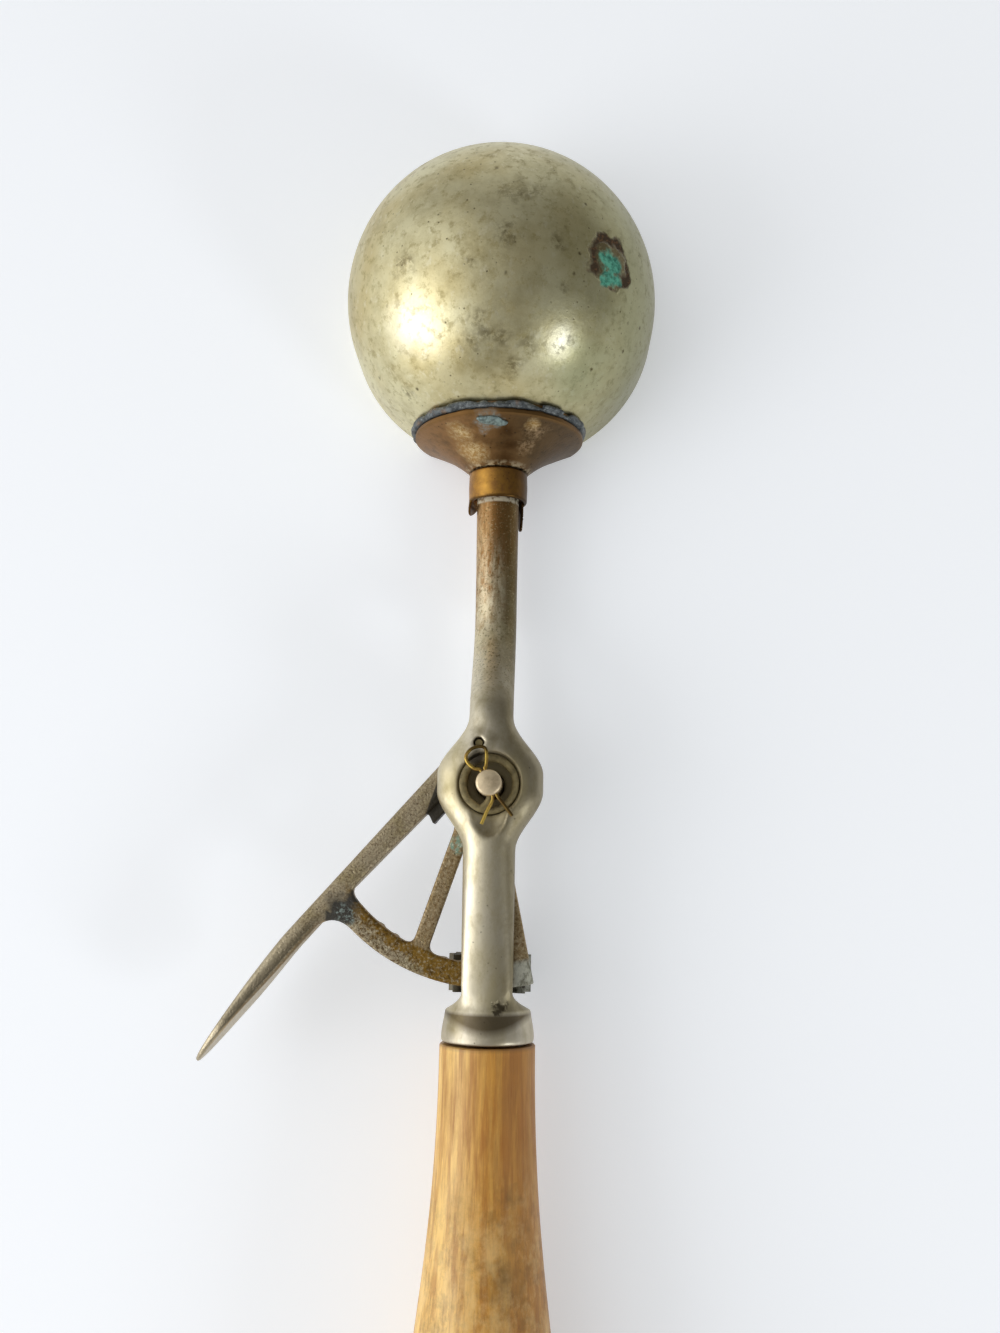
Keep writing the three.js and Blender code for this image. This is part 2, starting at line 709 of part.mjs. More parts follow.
// Lever plate seen from above: hub, end spoke, toothed rim and the web beside the bar, with two windows
function leverPlate() {
  const barInside = [
    along(leverAngle, 0, leverEdge - leverRootThickness),
    along(leverAngle, crownPitchRadius, leverEdge - leverRimThickness),
  ];
  const half = spokeWidth / 2;
  const spokeEdges = [half, -half].map((offset) => lineAlong(spokeAngle, spokeOffset + offset));
  const endEdges = [half, -half].map((offset) => lineAlong(endSpokeAngle, endSpokeOffset + offset));
  const rimEnd = meetCircle(endEdges[1], rimOuter);
  const barCorner = meetCircle(barInside, rimOuter);
  const cornerAngle = Math.atan2(barCorner.y, barCorner.x) + junctionFillet / rimOuter;
  const fairing = barCorner.clone().addScaledVector(
    barInside[1].clone().sub(barInside[0]).normalize(),
    junctionFillet,
  );
  const hubSide = meetCircle(endEdges[1], leverHubRadius * 0.8);
  const barMiddle = along(leverAngle, fairing.length(), leverEdge - leverRimThickness / 3);
  const outline = new THREE.Shape();
  outline.moveTo(0, 0);
  outline.lineTo(hubSide.x, hubSide.y);
  outline.lineTo(rimEnd.x, rimEnd.y);
  outline.absarc(0, 0, rimOuter, Math.atan2(rimEnd.y, rimEnd.x), cornerAngle, true);
  outline.quadraticCurveTo(barCorner.x, barCorner.y, fairing.x, fairing.y);
  outline.lineTo(barMiddle.x, barMiddle.y);
  const barRoot = along(leverAngle, 0, leverEdge / 2);
  outline.lineTo(barRoot.x, barRoot.y);
  outline.holes.push(windowBetween(barInside, spokeEdges[0], leverHubRadius, rimInner));
  outline.holes.push(windowBetween(spokeEdges[1], endEdges[0], leverHubRadius, rimInner));
  return solidOf(raised(outline, plateBottom, plateTop, 14));
}

// The bar and thumb blade: a straight outer edge, thinning past the rim to a tall leaf with a round end
function leverBar() {
  const stations = [
    0,
    crownPitchRadius,
    ...steps(thumbStart, thumbReach, 14)
      .map((s) => lerp(thumbStart, thumbReach, smooth(s, thumbStart, thumbReach))),
    thumbReach,
  ];
  const rings = stations.map((reach) => {
    const thinned = smooth(reach, thumbStart, thumbStart + thumbThinning);
    const dropped = smooth(reach, thumbStart, thumbStart + thumbSpread);
    const leaf = THREE.MathUtils.clamp((reach - thumbStart) / (thumbReach - thumbStart), 0, 1);
    const bar = lerp(leverRootThickness, leverRimThickness, Math.min(1, reach / crownPitchRadius));
    const thickness = lerp(lerp(bar, thumbThickness, thinned), thumbTipThickness, leaf);
    const edge = leverEdge - thumbInset * leaf ** 1.3;
    const low = lerp(leverHubBottom, leverTop - thumbDrop, dropped);
    const middle = (leverTop + low) / 2;
    const tall = (leverTop - low) / 2 * Math.max(0.18, Math.sqrt(1 - leaf ** 4));
    const ease = thickness * 0.2;
    return [
      [edge - ease, tall], [edge, tall - ease], [edge, ease - tall], [edge - ease, -tall],
      [edge - thickness + ease, -tall], [edge - thickness, ease - tall],
      [edge - thickness, tall - ease], [edge - thickness + ease, tall],
    ].map(([offset, z]) => lift(along(leverAngle, reach, offset), middle + z));
  });
  return solidOf(loft(rings));
}

function thumbLever() {
  const hub = solidOf(pillar(leverHubRadius, leverHubBottom, plateTop));
  const inside = leverEdge - leverRootThickness;
  const lug = new THREE.Shape([
    along(leverAngle, 0, inside + rootLugWidth),
    along(leverAngle, rootLugReach - rootLugSlant, inside + rootLugWidth),
    along(leverAngle, rootLugReach, inside - rootLugWidth),
    along(leverAngle, 0, inside - rootLugWidth),
  ]);
  const toothStep = 360 / crownTeeth;
  const firstTooth = Math.ceil(endSpokeAngle / toothStep + 0.5);
  const lastTooth = Math.floor((leverAngle + rimWidth) / toothStep);
  const teeth = [];
  for (let tooth = firstTooth; tooth <= lastTooth; tooth += 1) {
    teeth.push(crownTooth((tooth - 0.5) * toothStep));
  }
  const casting = joined(
    hub,
    leverPlate(),
    leverBar(),
    solidOf(raised(lug, leverHubBottom, leverHubBottom + rootLugHeight)),
    ...teeth,
  );
  const bore = solidOf(pillar(pinRadius + clearance, 0, 2 * leverTop, smallTurn));
  const seat = solidOf(pillar(washerRadius + clearance, washerSeat, 2 * leverTop));
  return cut(casting, bore, seat);
}

function pivotWasher() {
  const profile = ring(pinRadius + clearance, washerRadius, washerTop - washerThickness, washerTop);
  return solidOf(turnedUpright(profile));
}

function pivotPin() {
  const headTop = leverHubBottom - clearance;
  const body = solidOf(turnedUpright([
    [0, headTop - pinHeadHeight],
    [pinHeadRadius * 0.8, headTop - pinHeadHeight],
    [pinHeadRadius, headTop - pinHeadHeight / 2],
    [pinHeadRadius, headTop],
    [pinRadius, headTop],
    [pinRadius, pinTop - clearance],
    [pinRadius - clearance, pinTop],
    [0, pinTop],
  ]));
  const crossHole = rod(cotterHole, -2 * pinRadius, 2 * pinRadius, smallTurn);
  crossHole.rotateZ(-radians(cotterAngle)).translate(0, 0, cotterHeight);
  const tail = springRun(16).tail;
  const inward = tail.at(-1).clone().sub(tail.at(-2)).setLength(clearance);
  const springHole = wire([...tail, tail.at(-1).clone().add(inward)], springWire + clearance, 8);
  return cut(body, solidOf(crossHole), solidOf(springHole));
}

// Split pin: up one leg, through the pin, round the eye, back through the pin and down the other leg
function cotterPin() {
  const inside = pinRadius + cotterWire;
  const route = [
    cotterLegLeft,
    new THREE.Vector2(inside, cotterSpread).lerp(cotterLegLeft, 0.5),
    new THREE.Vector2(inside, cotterSpread),
    new THREE.Vector2(0, cotterSpread),
    new THREE.Vector2(-inside, cotterSpread),
    ...cotterEye.map(([past, left]) => new THREE.Vector2(-inside - past, left)),
    new THREE.Vector2(-inside, -cotterSpread),
    new THREE.Vector2(0, -cotterSpread),
    new THREE.Vector2(inside, -cotterSpread),
    new THREE.Vector2(inside, -cotterSpread).lerp(cotterLegRight, 0.5),
    cotterLegRight,
  ].map((p) => lift(along(cotterAngle, p.x, p.y), cotterHeight));
  const curve = new THREE.CatmullRomCurve3(route, false, 'centripetal');
  return solidOf(wire(curve.getPoints(2 * route.length), cotterWire, 6));
}

function handle() {
  const front = bolsterBack - clearance;
  const back = front - handleLength;
  const belly = front - bellyAt;
  const swell = new THREE.CubicBezierCurve(
    new THREE.Vector2(handleNeckRadius, front),
    new THREE.Vector2(handleNeckRadius, lerp(front, belly, 0.5)),
    new THREE.Vector2(bellyRadius, lerp(front, belly, 0.59)),
    new THREE.Vector2(bellyRadius, belly),
  );
  const butt = new THREE.CubicBezierCurve(
    new THREE.Vector2(bellyRadius, belly),
    new THREE.Vector2(bellyRadius, lerp(belly, back, 0.55)),
    new THREE.Vector2(lerp(buttRadius, bellyRadius, 0.8), back),
    new THREE.Vector2(buttRadius, back),
  );
  const bore = tangRadius + clearance;
  const profile = [
    [bore, front],
    ...swell.getPoints(13).map((p) => [p.x, p.y]),
    ...butt.getPoints(9).slice(1).map((p) => [p.x, p.y]),
    [bore, back],
    [bore, front],
  ];
  return solidOf(turned(profile, turn).translate(0, 0, handleAxis));
}

function tang() {
  const butt = bolsterBack - clearance - handleLength;
  const headBase = butt - 2 * clearance - buttWasherThickness;
  const profile = [
    [0, bolsterBack + tangSocket - clearance],
    [tangRadius, bolsterBack + tangSocket - clearance],
    [tangRadius, headBase],
    [tangHeadRadius, headBase],
    [tangHeadRadius * 0.85, headBase - tangHeadHeight * 0.5],
    [tangHeadRadius * 0.5, headBase - tangHeadHeight * 0.9],
    [0, headBase - tangHeadHeight],
  ];
  return solidOf(turned(profile, smallTurn).translate(0, 0, handleAxis));
}

function buttWasher() {
  const seat = bolsterBack - 2 * clearance - handleLength;
  const profile = ring(tangRadius + clearance, buttWasherRadius, seat - buttWasherThickness, seat);
  return solidOf(turned(profile).translate(0, 0, handleAxis));
}

const metal = (color, roughness) => new THREE.MeshStandardMaterial({ color, roughness, metalness: 1 });
const nickel = metal('#a8a07a', 0.28);
const wornNickel = metal('#9c9478', 0.34);
const brass = metal('#b07a30', 0.35);
const brownBrass = metal('#8a6e45', 0.45);
const pittedBrass = metal('#8a8168', 0.6);
const darkSteel = metal('#3c3730', 0.6);
const brightSteel = metal('#c9bfae', 0.45);
const solder = metal('#6e7273', 0.6);
const wood = new THREE.MeshStandardMaterial({ color: '#d9a558', roughness: 0.55, metalness: 0 });

const pieces = [
  ['bowl', bowl(), nickel],
  ['saddle', saddle(), brownBrass],
  ['solder_bead', solderBead(), solder],
  ['collar', collar(), brass],
  ['shank_frame', shankFrame(), wornNickel],
  ['toe_rivet', toeRivet(), nickel],
  ['handle', handle(), wood],
  ['tang', tang(), darkSteel],
  ['butt_washer', buttWasher(), brass],
  ['thumb_lever', thumbLever(), pittedBrass],
  ['pivot_pin', pivotPin(), brightSteel],
  ['pivot_washer', pivotWasher(), brass],
  ['return_spring', returnSpring(), darkSteel],
  ['cotter_pin', cotterPin(), brass],
  ['drive_rod', driveRod(), brightSteel],
  ['pinion', pinion(), darkSteel],
  ['pinion_pin', pinionPin(), darkSteel],
  ['thrust_washer', thrustWasher(), brass],
  ['scraper_blade', scraperBlade(), nickel],
  ['heel_burr', heelBurr(), nickel],
];

// The scoop lies on its mouth and the belly of its handle, centred over the origin
const scoop = new THREE.Group();
pieces.forEach(([name, solid, material]) => {
  const mesh = new THREE.Mesh(geometryOf(solid), material);
  mesh.name = name;
  scoop.add(mesh);
});
const box = new THREE.Box3().setFromObject(scoop);
const middle = box.getCenter(new THREE.Vector3());
scoop.position.set(-middle.x, -middle.y, -box.min.z);
scoop.updateMatrixWorld(true);

export default scoop;
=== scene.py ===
"""The looks of an old ice cream scoop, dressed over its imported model.

Pieces are modelled in millimetres in the maker's frame: the thumb lever turns about Z, the drive rod runs
along Y toward the bowl, and the bowl's back is up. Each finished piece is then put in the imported
model's place.
"""

import json
import math
from types import SimpleNamespace

import bmesh
import bpy
from mathutils import Matrix, Vector, noise


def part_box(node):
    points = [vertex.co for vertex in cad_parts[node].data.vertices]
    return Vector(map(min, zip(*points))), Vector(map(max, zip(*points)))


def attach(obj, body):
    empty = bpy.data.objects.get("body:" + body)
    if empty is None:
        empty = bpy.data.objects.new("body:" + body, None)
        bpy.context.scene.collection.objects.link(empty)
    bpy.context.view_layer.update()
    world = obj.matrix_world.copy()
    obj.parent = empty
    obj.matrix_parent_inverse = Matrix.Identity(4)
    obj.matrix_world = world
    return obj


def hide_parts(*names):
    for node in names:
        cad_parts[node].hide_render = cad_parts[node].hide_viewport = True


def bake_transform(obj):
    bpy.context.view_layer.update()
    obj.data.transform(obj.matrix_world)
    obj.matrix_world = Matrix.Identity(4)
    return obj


bl_info = {
    "name": "Ice cream scoop",
    "version": (1, 0, 0),
    "blender": (4, 5, 0),
    "location": "View3D > Sidebar > Scoop",
    "description": "Dresses the packed model of an old ice cream scoop with a thumb lever",
    "category": "Add Mesh",
}

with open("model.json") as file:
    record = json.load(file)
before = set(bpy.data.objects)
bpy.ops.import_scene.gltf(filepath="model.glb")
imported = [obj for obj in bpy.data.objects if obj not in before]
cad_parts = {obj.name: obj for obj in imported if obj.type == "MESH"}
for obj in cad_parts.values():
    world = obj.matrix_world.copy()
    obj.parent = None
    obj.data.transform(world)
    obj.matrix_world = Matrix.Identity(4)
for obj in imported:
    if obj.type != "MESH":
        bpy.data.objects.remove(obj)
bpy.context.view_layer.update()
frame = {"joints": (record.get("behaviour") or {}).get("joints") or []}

MM = 0.001
QUARTER_TURN = math.pi / 2
JOINTS = {joint["name"]: joint for joint in frame["joints"]}
PIVOT = Vector(JOINTS["lever_hinge"]["pos_m"])
ROD = Vector(JOINTS["scraper_turn"]["pos_m"])
# The maker's origin is where the lever's axis crosses the rod's height
ORIGIN = Vector((PIVOT.x, PIVOT.y, ROD.z))
PLACE = Matrix.Translation(ORIGIN) @ Matrix.Scale(MM, 4)


def span(node):
    """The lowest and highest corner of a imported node, in millimetres in the maker's frame."""
    return tuple((corner - ORIGIN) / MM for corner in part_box(node))


BOWL_LOW, BOWL_HIGH = span("bowl")
HANDLE_LOW, HANDLE_HIGH = span("handle")
PIN_LOW, PIN_HIGH = span("pivot_pin")
ROD_LOW, ROD_HIGH = span("drive_rod")
PINION_LOW, PINION_HIGH = span("pinion")
BLADE_LOW, BLADE_HIGH = span("scraper_blade")
CASTING_BACK = span("shank_frame")[0].y
LEVER_TOP = span("thumb_lever")[1].z
SPRING_FOOT = span("return_spring")[0].z
BOWL_REACH = (BOWL_LOW.y + BOWL_HIGH.y) / 2
HANDLE_AXIS = (HANDLE_LOW.z + HANDLE_HIGH.z) / 2

# Radii of round pieces that run in bores, and how much wider each bore is
GAP = 0.3
SHANK_RADIUS = 3.85
ROD_RADIUS = 2.0
ROD_TIP = 1.2
ROD_TAIL = 1.5
ROD_TAIL_LENGTH = 5.7
TANG_RADIUS = 2.6
PIVOT_RADIUS = 2.1
PIVOT_RING = 5.0
THRUST_RING = 3.6
CROSS_PIN = 0.6
RIVET_RADIUS = 2.1
RIVET_HEIGHT = 0.8
BLADE_WALL = 0.8

# The gear: teeth all round the pinion and, on the lever, round a full circle
PINION_TEETH = 12
RIM_TEETH = 62
MODULE = 1.0
PRESSURE = math.radians(20)
BACKLASH = 0.34
PITCH_RADIUS = PINION_TEETH * MODULE / 2

# How much of its own colour the floor adds to what the eye and the metal see of it
FLOOR_GLOW = 0.38


def srgb(hexcode):
    """An sRGB hex colour as linear RGBA."""
    shares = [int(hexcode[i:i + 2], 16) / 255 for i in (0, 2, 4)]
    return (*(c / 12.92 if c <= 0.04045 else ((c + 0.055) / 1.055) ** 2.4 for c in shares), 1.0)


def length(name, description, millimetres):
    return bpy.props.FloatProperty(
        name=name, description=description, default=millimetres * MM, min=0, unit="LENGTH", precision=5)


def colour(name, description, hexcode):
    return bpy.props.FloatVectorProperty(
        name=name, description=description, default=srgb(hexcode), size=4, min=0, max=1, subtype="COLOR")


def turn(name, description, degrees):
    return bpy.props.FloatProperty(
        name=name, description=description, default=math.radians(degrees), subtype="ANGLE", unit="ROTATION")


class ScoopBowlSettings(bpy.types.PropertyGroup):
    """Sizes of the bowl, of the flange behind it and of the band round the flange's neck"""
    radius: length("Bowl radius", "Outside radius of the round bowl", (BOWL_HIGH.y - BOWL_LOW.y) / 2)
    wall: length("Bowl wall", "Thickness of the spun shell", 0.9)
    lip: length("Lip height", "Straight wall below the half sphere", -BOWL_LOW.z)
    flange_radius: length("Flange radius", "Radius of the trumpet's edge on the bowl", 15.3)
    flange_edge: length("Flange edge", "Height of the trumpet's edge at its radius", 2.2)
    flange_neck: length("Flange neck radius", "Radius where the trumpet meets the band", 5.4)
    flange_drop: length("Flange drop", "How far the neck stands behind the bowl", 4.0)
    solder_radius: length("Solder radius", "Mean half width of the solder seam", 0.5)
    band_radius: length("Band radius", "Outside radius of the brass band", 5.25)
    band_length: length("Band length", "Length of the brass band along the shank", 5.6)


class ScoopShankSettings(bpy.types.PropertyGroup):
    """Sizes of the cast shank, hub, bar and bolster"""
    tube: length("Shank radius", "Radius of the shank at the bowl", SHANK_RADIUS)
    waist: length("Shank waist", "Radius of the shank where it starts to rise to the hub", 3.7)
    hub: length("Hub radius", "Half the width of the round hub", 8.8)
    well: length("Well radius", "Radius of the spring's well in the hub", 4.98)
    bar: length("Bar half width", "Half the width of the bar behind the hub", 4.3)
    bolster: length("Bolster radius", "Radius of the bell ahead of the handle", 7.7)
    shoulder: length("Bolster shoulder", "Radius of the bell at its crease", 7.1)


class ScoopHandleSettings(bpy.types.PropertyGroup):
    """Sizes of the turned handle"""
    neck: length("Neck radius", "Radius of the handle at the bolster", 7.9)
    belly: length("Belly radius", "Largest radius of the handle", HANDLE_AXIS - BOWL_LOW.z)
    belly_at: length("Belly place", "Distance from the bolster to the belly", 76.0)
    butt: length("Butt radius", "Radius of the handle's flat end", 6.2)


class ScoopLeverSettings(bpy.types.PropertyGroup):
    """Sizes of the thumb lever and its toothed sector"""
    angle: turn("Lever angle", "Angle between the lever's bar and the handle", 41.5)
    edge: length("Lever edge", "Distance of the bar's outer edge from the pivot", 8.85)
    rim: length("Sector pitch radius", "Radius of the middle of the toothed rim", 31.0)
    rim_width: length("Rim width", "Width of the toothed rim", 3.9)
    thumb_start: length("Thumb start", "Distance from the pivot to the thumb leaf", 41.0)
    reach: length("Lever reach", "Distance from the pivot to the tip of the thumb leaf", 66.2)
    hub: length("Lever hub radius", "Radius of the lever's hub", 8.5)


class ScoopFinishSettings(bpy.types.PropertyGroup):
    """Colours of the finishes"""
    nickel: colour("Nickel", "Aged nickel plate", "D8D0A8")
    yellowed: colour("Yellowed nickel", "Plate yellowed by age", "C9BA88")
    tarnish: colour("Tarnish", "Brown bloom on the plate", "8A7B48")
    smudge: colour("Smudges", "Dark stains on the plate", "5C4F2C")
    pit: colour("Pits", "Dark pits in the metal", "32291A")
    verdigris: colour("Verdigris", "Green copper salts", "64B598")
    lichen: colour("Old verdigris", "Dulled copper salts on the lever", "6CA692")
    rust: colour("Corrosion ring", "Brown ring round the verdigris", "3C2A16")
    brass: colour("Brass", "Bare brass of the band", "AC7E3C")
    browned: colour("Browned brass", "Bare brass darkened by age", "8E6A42")
    bronze: colour("Bronze", "Brown brass where the plate has gone", "8C6439")
    casting: colour("Cast shank", "Grey nickel plate of the shank", "DAD1BA")
    plate: colour("Lever plate", "Worn plate on the lever", "AC9E82")
    leaf: colour("Thumb leaf", "Plate polished by the thumb", "BDB196")
    ochre: colour("Ochre brass", "Rubbed brass of the toothed rim", "886828")
    steel: colour("Pin steel", "Worn steel of the pivot pin", "DECBA8")
    solder: colour("Solder", "Dull soft solder", "6A6E6E")
    wood: colour("Wood", "Honey-coloured hardwood", "F0B04A")
    grain: colour("Wood grain", "Brown streaks of the grain", "A2672A")
    floor: colour("Floor", "Plain pale floor", "E9EBED")


SETTINGS = {
    "scoop_bowl": ScoopBowlSettings,
    "scoop_shank": ScoopShankSettings,
    "scoop_handle": ScoopHandleSettings,
    "scoop_lever": ScoopLeverSettings,
    "scoop_finish": ScoopFinishSettings,
}


def sizes(group):
    """A settings group's lengths in millimetres and its angles in radians."""
    values = {}
    for name in type(group).__annotations__:
        unit = group.bl_rna.properties[name].unit
        values[name] = getattr(group, name) / (MM if unit == "LENGTH" else 1)
    return SimpleNamespace(**values)


def lerp(a, b, part):
    return a + (b - a) * part


def share(value, low, high):
    """How far a value is from one bound to the other, kept between 0 and 1."""
    return min(1, max(0, (value - low) / (high - low)))


def smooth(value, low, high):
    part = share(value, low, high)
    return part * part * (3 - 2 * part)


def spread(start, end, count):
    """Evenly spaced values, both ends included."""
    return [lerp(start, end, i / (count - 1)) for i in range(count)]


def curve(points, count):
    """Points on a Bezier curve, both ends included."""
    run = []
    for part in spread(0, 1, count):
        level = [Vector(p) for p in points]
        while len(level) > 1:
            level = [a.lerp(b, part) for a, b in zip(level, level[1:])]
        run.append(level[0])
    return run


def thread(points, count):
    """A smooth run through points in space, with so many steps between each two."""
    ends = [points[0] * 2 - points[1], *points, points[-1] * 2 - points[-2]]
    run = []
    for a, b, c, d in zip(ends, ends[1:], ends[2:], ends[3:]):
        for i in range(count):
            t = i / count
            run.append(0.5 * (2 * b + (c - a) * t + (2 * a - 5 * b + 4 * c - d) * t ** 2
                              + (3 * b - a - 3 * c + d) * t ** 3))
    return [*run, points[-1]]


def dome(radius, start, end, count, base=0, tall=None):
    """Points of a rounded end in (radius, height) between two angles, a circle's if no height is given."""
    tall = radius if tall is None else tall
    return [(radius * math.cos(a), base + tall * math.sin(a)) for a in spread(start, end, count)]


def round_pivot(radius, angle, z):
    """A point round the lever's axis."""
    return Vector((radius * math.cos(angle), radius * math.sin(angle), z))


def round_rod(radius, angle, y):
    """A point round the rod's axis, turned from the top toward the right."""
    return radius * math.sin(angle), y, radius * math.cos(angle)


def tidied(bm):
    """Merges doubles and turns the faces outward."""
    bmesh.ops.remove_doubles(bm, verts=bm.verts, dist=1e-4)
    bmesh.ops.recalc_face_normals(bm, faces=bm.faces)
    return bm


def turned(profile, steps=96, upright=False, closed=False):
    """Spins (radius, height) points round Y, or round Z where upright."""
    bm = bmesh.new()
    run = [bm.verts.new((r, 0, h) if upright else (r, h, 0)) for r, h in profile]
    ends = run[1:] + run[:1] if closed else run[1:]
    edges = [bm.edges.new(pair) for pair in zip(run, ends)]
    axis = (0, 0, 1) if upright else (0, 1, 0)
    bmesh.ops.spin(bm, geom=run + edges, cent=(0, 0, 0), axis=axis, dvec=(0, 0, 0),
                   angle=math.tau, steps=steps, use_merge=True)
    return tidied(bm)


def rod(radius, start, end, steps=48, upright=False):
    return turned([(0, start), (radius, start), (radius, end), (0, end)], steps, upright)


def washer(bore, radius, start, end, steps, upright=False):
    return turned([(bore, start), (radius, start), (radius, end), (bore, end)], steps, upright, closed=True)


def pebble(*half_sizes):
    """A small lump, rounded all over."""
    bm = bmesh.new()
    bmesh.ops.create_icosphere(bm, subdivisions=3, radius=1)
    bmesh.ops.scale(bm, vec=half_sizes, verts=bm.verts)
    return bm


def moved(bm, x=0, y=0, z=0):
    bmesh.ops.translate(bm, vec=(x, y, z), verts=bm.verts)
    return bm


def rotated(bm, angle, axis):
    bmesh.ops.rotate(bm, cent=(0, 0, 0), matrix=Matrix.Rotation(angle, 3, axis), verts=bm.verts)
    return bm


def lofted(rings):
    """Draws a ring of points out through further rings of as many points, and caps both ends."""
    bm = bmesh.new()
    ring = [bm.verts.new(p) for p in rings[0]]
    edges = [bm.edges.new(pair) for pair in zip(ring, ring[1:] + ring[:1])]
    bm.faces.new(ring)
    for points in rings[1:]:
        drawn = bmesh.ops.extrude_edge_only(bm, edges=edges)["geom"]
        fresh = {v for v in drawn if isinstance(v, bmesh.types.BMVert)}
        ring = [next(e.other_vert(v) for e in v.link_edges if e.other_vert(v) in fresh) for v in ring]
        for vert, point in zip(ring, points):
            vert.co = point
        edges = [bm.edges.get(pair) for pair in zip(ring, ring[1:] + ring[:1])]
    bm.faces.new(ring)
    return tidied(bm)


def wire(points, radius, sides):
    """A round wire along a run of points, its section carried along without twisting."""
    rings = []
    side = None
    for i, point in enumerate(points):
        along = (points[min(i + 1, len(points) - 1)] - points[max(i - 1, 0)]).normalized()
        if side is None:
            side = along.orthogonal()
        side = (side - along * side.dot(along)).normalized()
        up = along.cross(side)
        rings.append([point + side * radius * math.cos(a) + up * radius * math.sin(a)
                      for a in (math.tau * k / sides for k in range(sides))])
    return lofted(rings)


def prism(outline, low, high):
    """A flat outline drawn up from one height to another."""
    bm = bmesh.new()
    face = bm.faces.new([bm.verts.new((p[0], p[1], low)) for p in outline])
    drawn = bmesh.ops.extrude_face_region(bm, geom=[face])["geom"]
    top = [v for v in drawn if isinstance(v, bmesh.types.BMVert)]
    bmesh.ops.translate(bm, vec=(0, 0, high - low), verts=top)
    return tidied(bm)


def trimmed(bm, point, outward):
    """Trims a shape off at a plane, keeping what lies behind it."""
    bmesh.ops.bisect_plane(bm, geom=[*bm.verts, *bm.edges, *bm.faces], dist=1e-4,
                           plane_co=point, plane_no=outward, clear_outer=True)
    bmesh.ops.holes_fill(bm, edges=[e for e in bm.edges if e.is_boundary], sides=0)
    return tidied(bm)


def blank(bm):
    """A passing object that holds a shape under way."""
    mesh = bpy.data.meshes.new("blank")
    bm.to_mesh(mesh)
    bm.free()
    made = bpy.data.objects.new("blank", mesh)
    bpy.context.scene.collection.objects.link(made)
    return made


def shaped(bm, *modifiers):
    """The shape after a run of modifiers, each given as its type and settings."""
    held = blank(bm)
    tools = []
    for kind, settings in modifiers:
        modifier = held.modifiers.new(kind.lower(), kind)
        for name, value in settings.items():
            setattr(modifier, name, value)
        if kind == "BOOLEAN":
            tools.append(settings["object"])
    out = bmesh.new()
    out.from_object(held, bpy.context.evaluated_depsgraph_get())
    for used in [held, *tools]:
        mesh = used.data
        bpy.data.objects.remove(used)
        bpy.data.meshes.remove(mesh)
    return out


def cut(bm, *tools):
    steps = [("BOOLEAN", {"object": blank(t), "operation": "DIFFERENCE", "solver": "EXACT"}) for t in tools]
    return shaped(bm, *steps)


def joined(bm, *parts):
    steps = [("BOOLEAN", {"object": blank(p), "operation": "UNION", "solver": "EXACT"}) for p in parts]
    return shaped(bm, *steps)


def gathered(*parts):
    """Several closed shapes in one mesh."""
    out = bmesh.new()
    for part in parts:
        mesh = bpy.data.meshes.new("part")
        part.to_mesh(mesh)
        part.free()
        out.from_mesh(mesh)
        bpy.data.meshes.remove(mesh)
    return out


def cast(bm, grain, rounds):
    """Runs shapes together with softened edges, as a casting has, at a grain in millimetres."""
    out = shaped(bm, ("REMESH", {"mode": "VOXEL", "voxel_size": grain}))
    for _ in range(rounds):
        bmesh.ops.smooth_vert(
            out, verts=out.verts, factor=0.5, use_axis_x=True, use_axis_y=True, use_axis_z=True)
    return out


def piece(bm, name, node, material, body, sharp=38):
    """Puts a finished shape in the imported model's place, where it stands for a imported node."""
    bmesh.ops.transform(bm, matrix=PLACE, verts=bm.verts)
    mesh = bpy.data.meshes.new(name)
    bm.to_mesh(mesh)
    bm.free()
    mesh.polygons.foreach_set("use_smooth", [True] * len(mesh.polygons))
    mesh.set_sharp_from_angle(angle=math.radians(sharp))
    mesh.materials.append(material)
    made = bpy.data.objects.new(name, mesh)
    bpy.context.scene.collection.objects.link(made)
    if body:
        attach(made, body)
    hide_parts(node)
    return made


def add_node(tree, kind, inputs=(), out=0, **settings):
    """Adds a node with its settings, links or sets its inputs by place or name, and gives an output."""
    node = tree.nodes.new("ShaderNode" + kind)
    for name, value in settings.items():
        setattr(node, name, value)
    for name, value in inputs.items() if isinstance(inputs, dict) else enumerate(inputs):
        if isinstance(value, bpy.types.NodeSocket):
            tree.links.new(value, node.inputs[name])
        else:
            node.inputs[name].default_value = value
    return node.outputs[out] if node.outputs else None


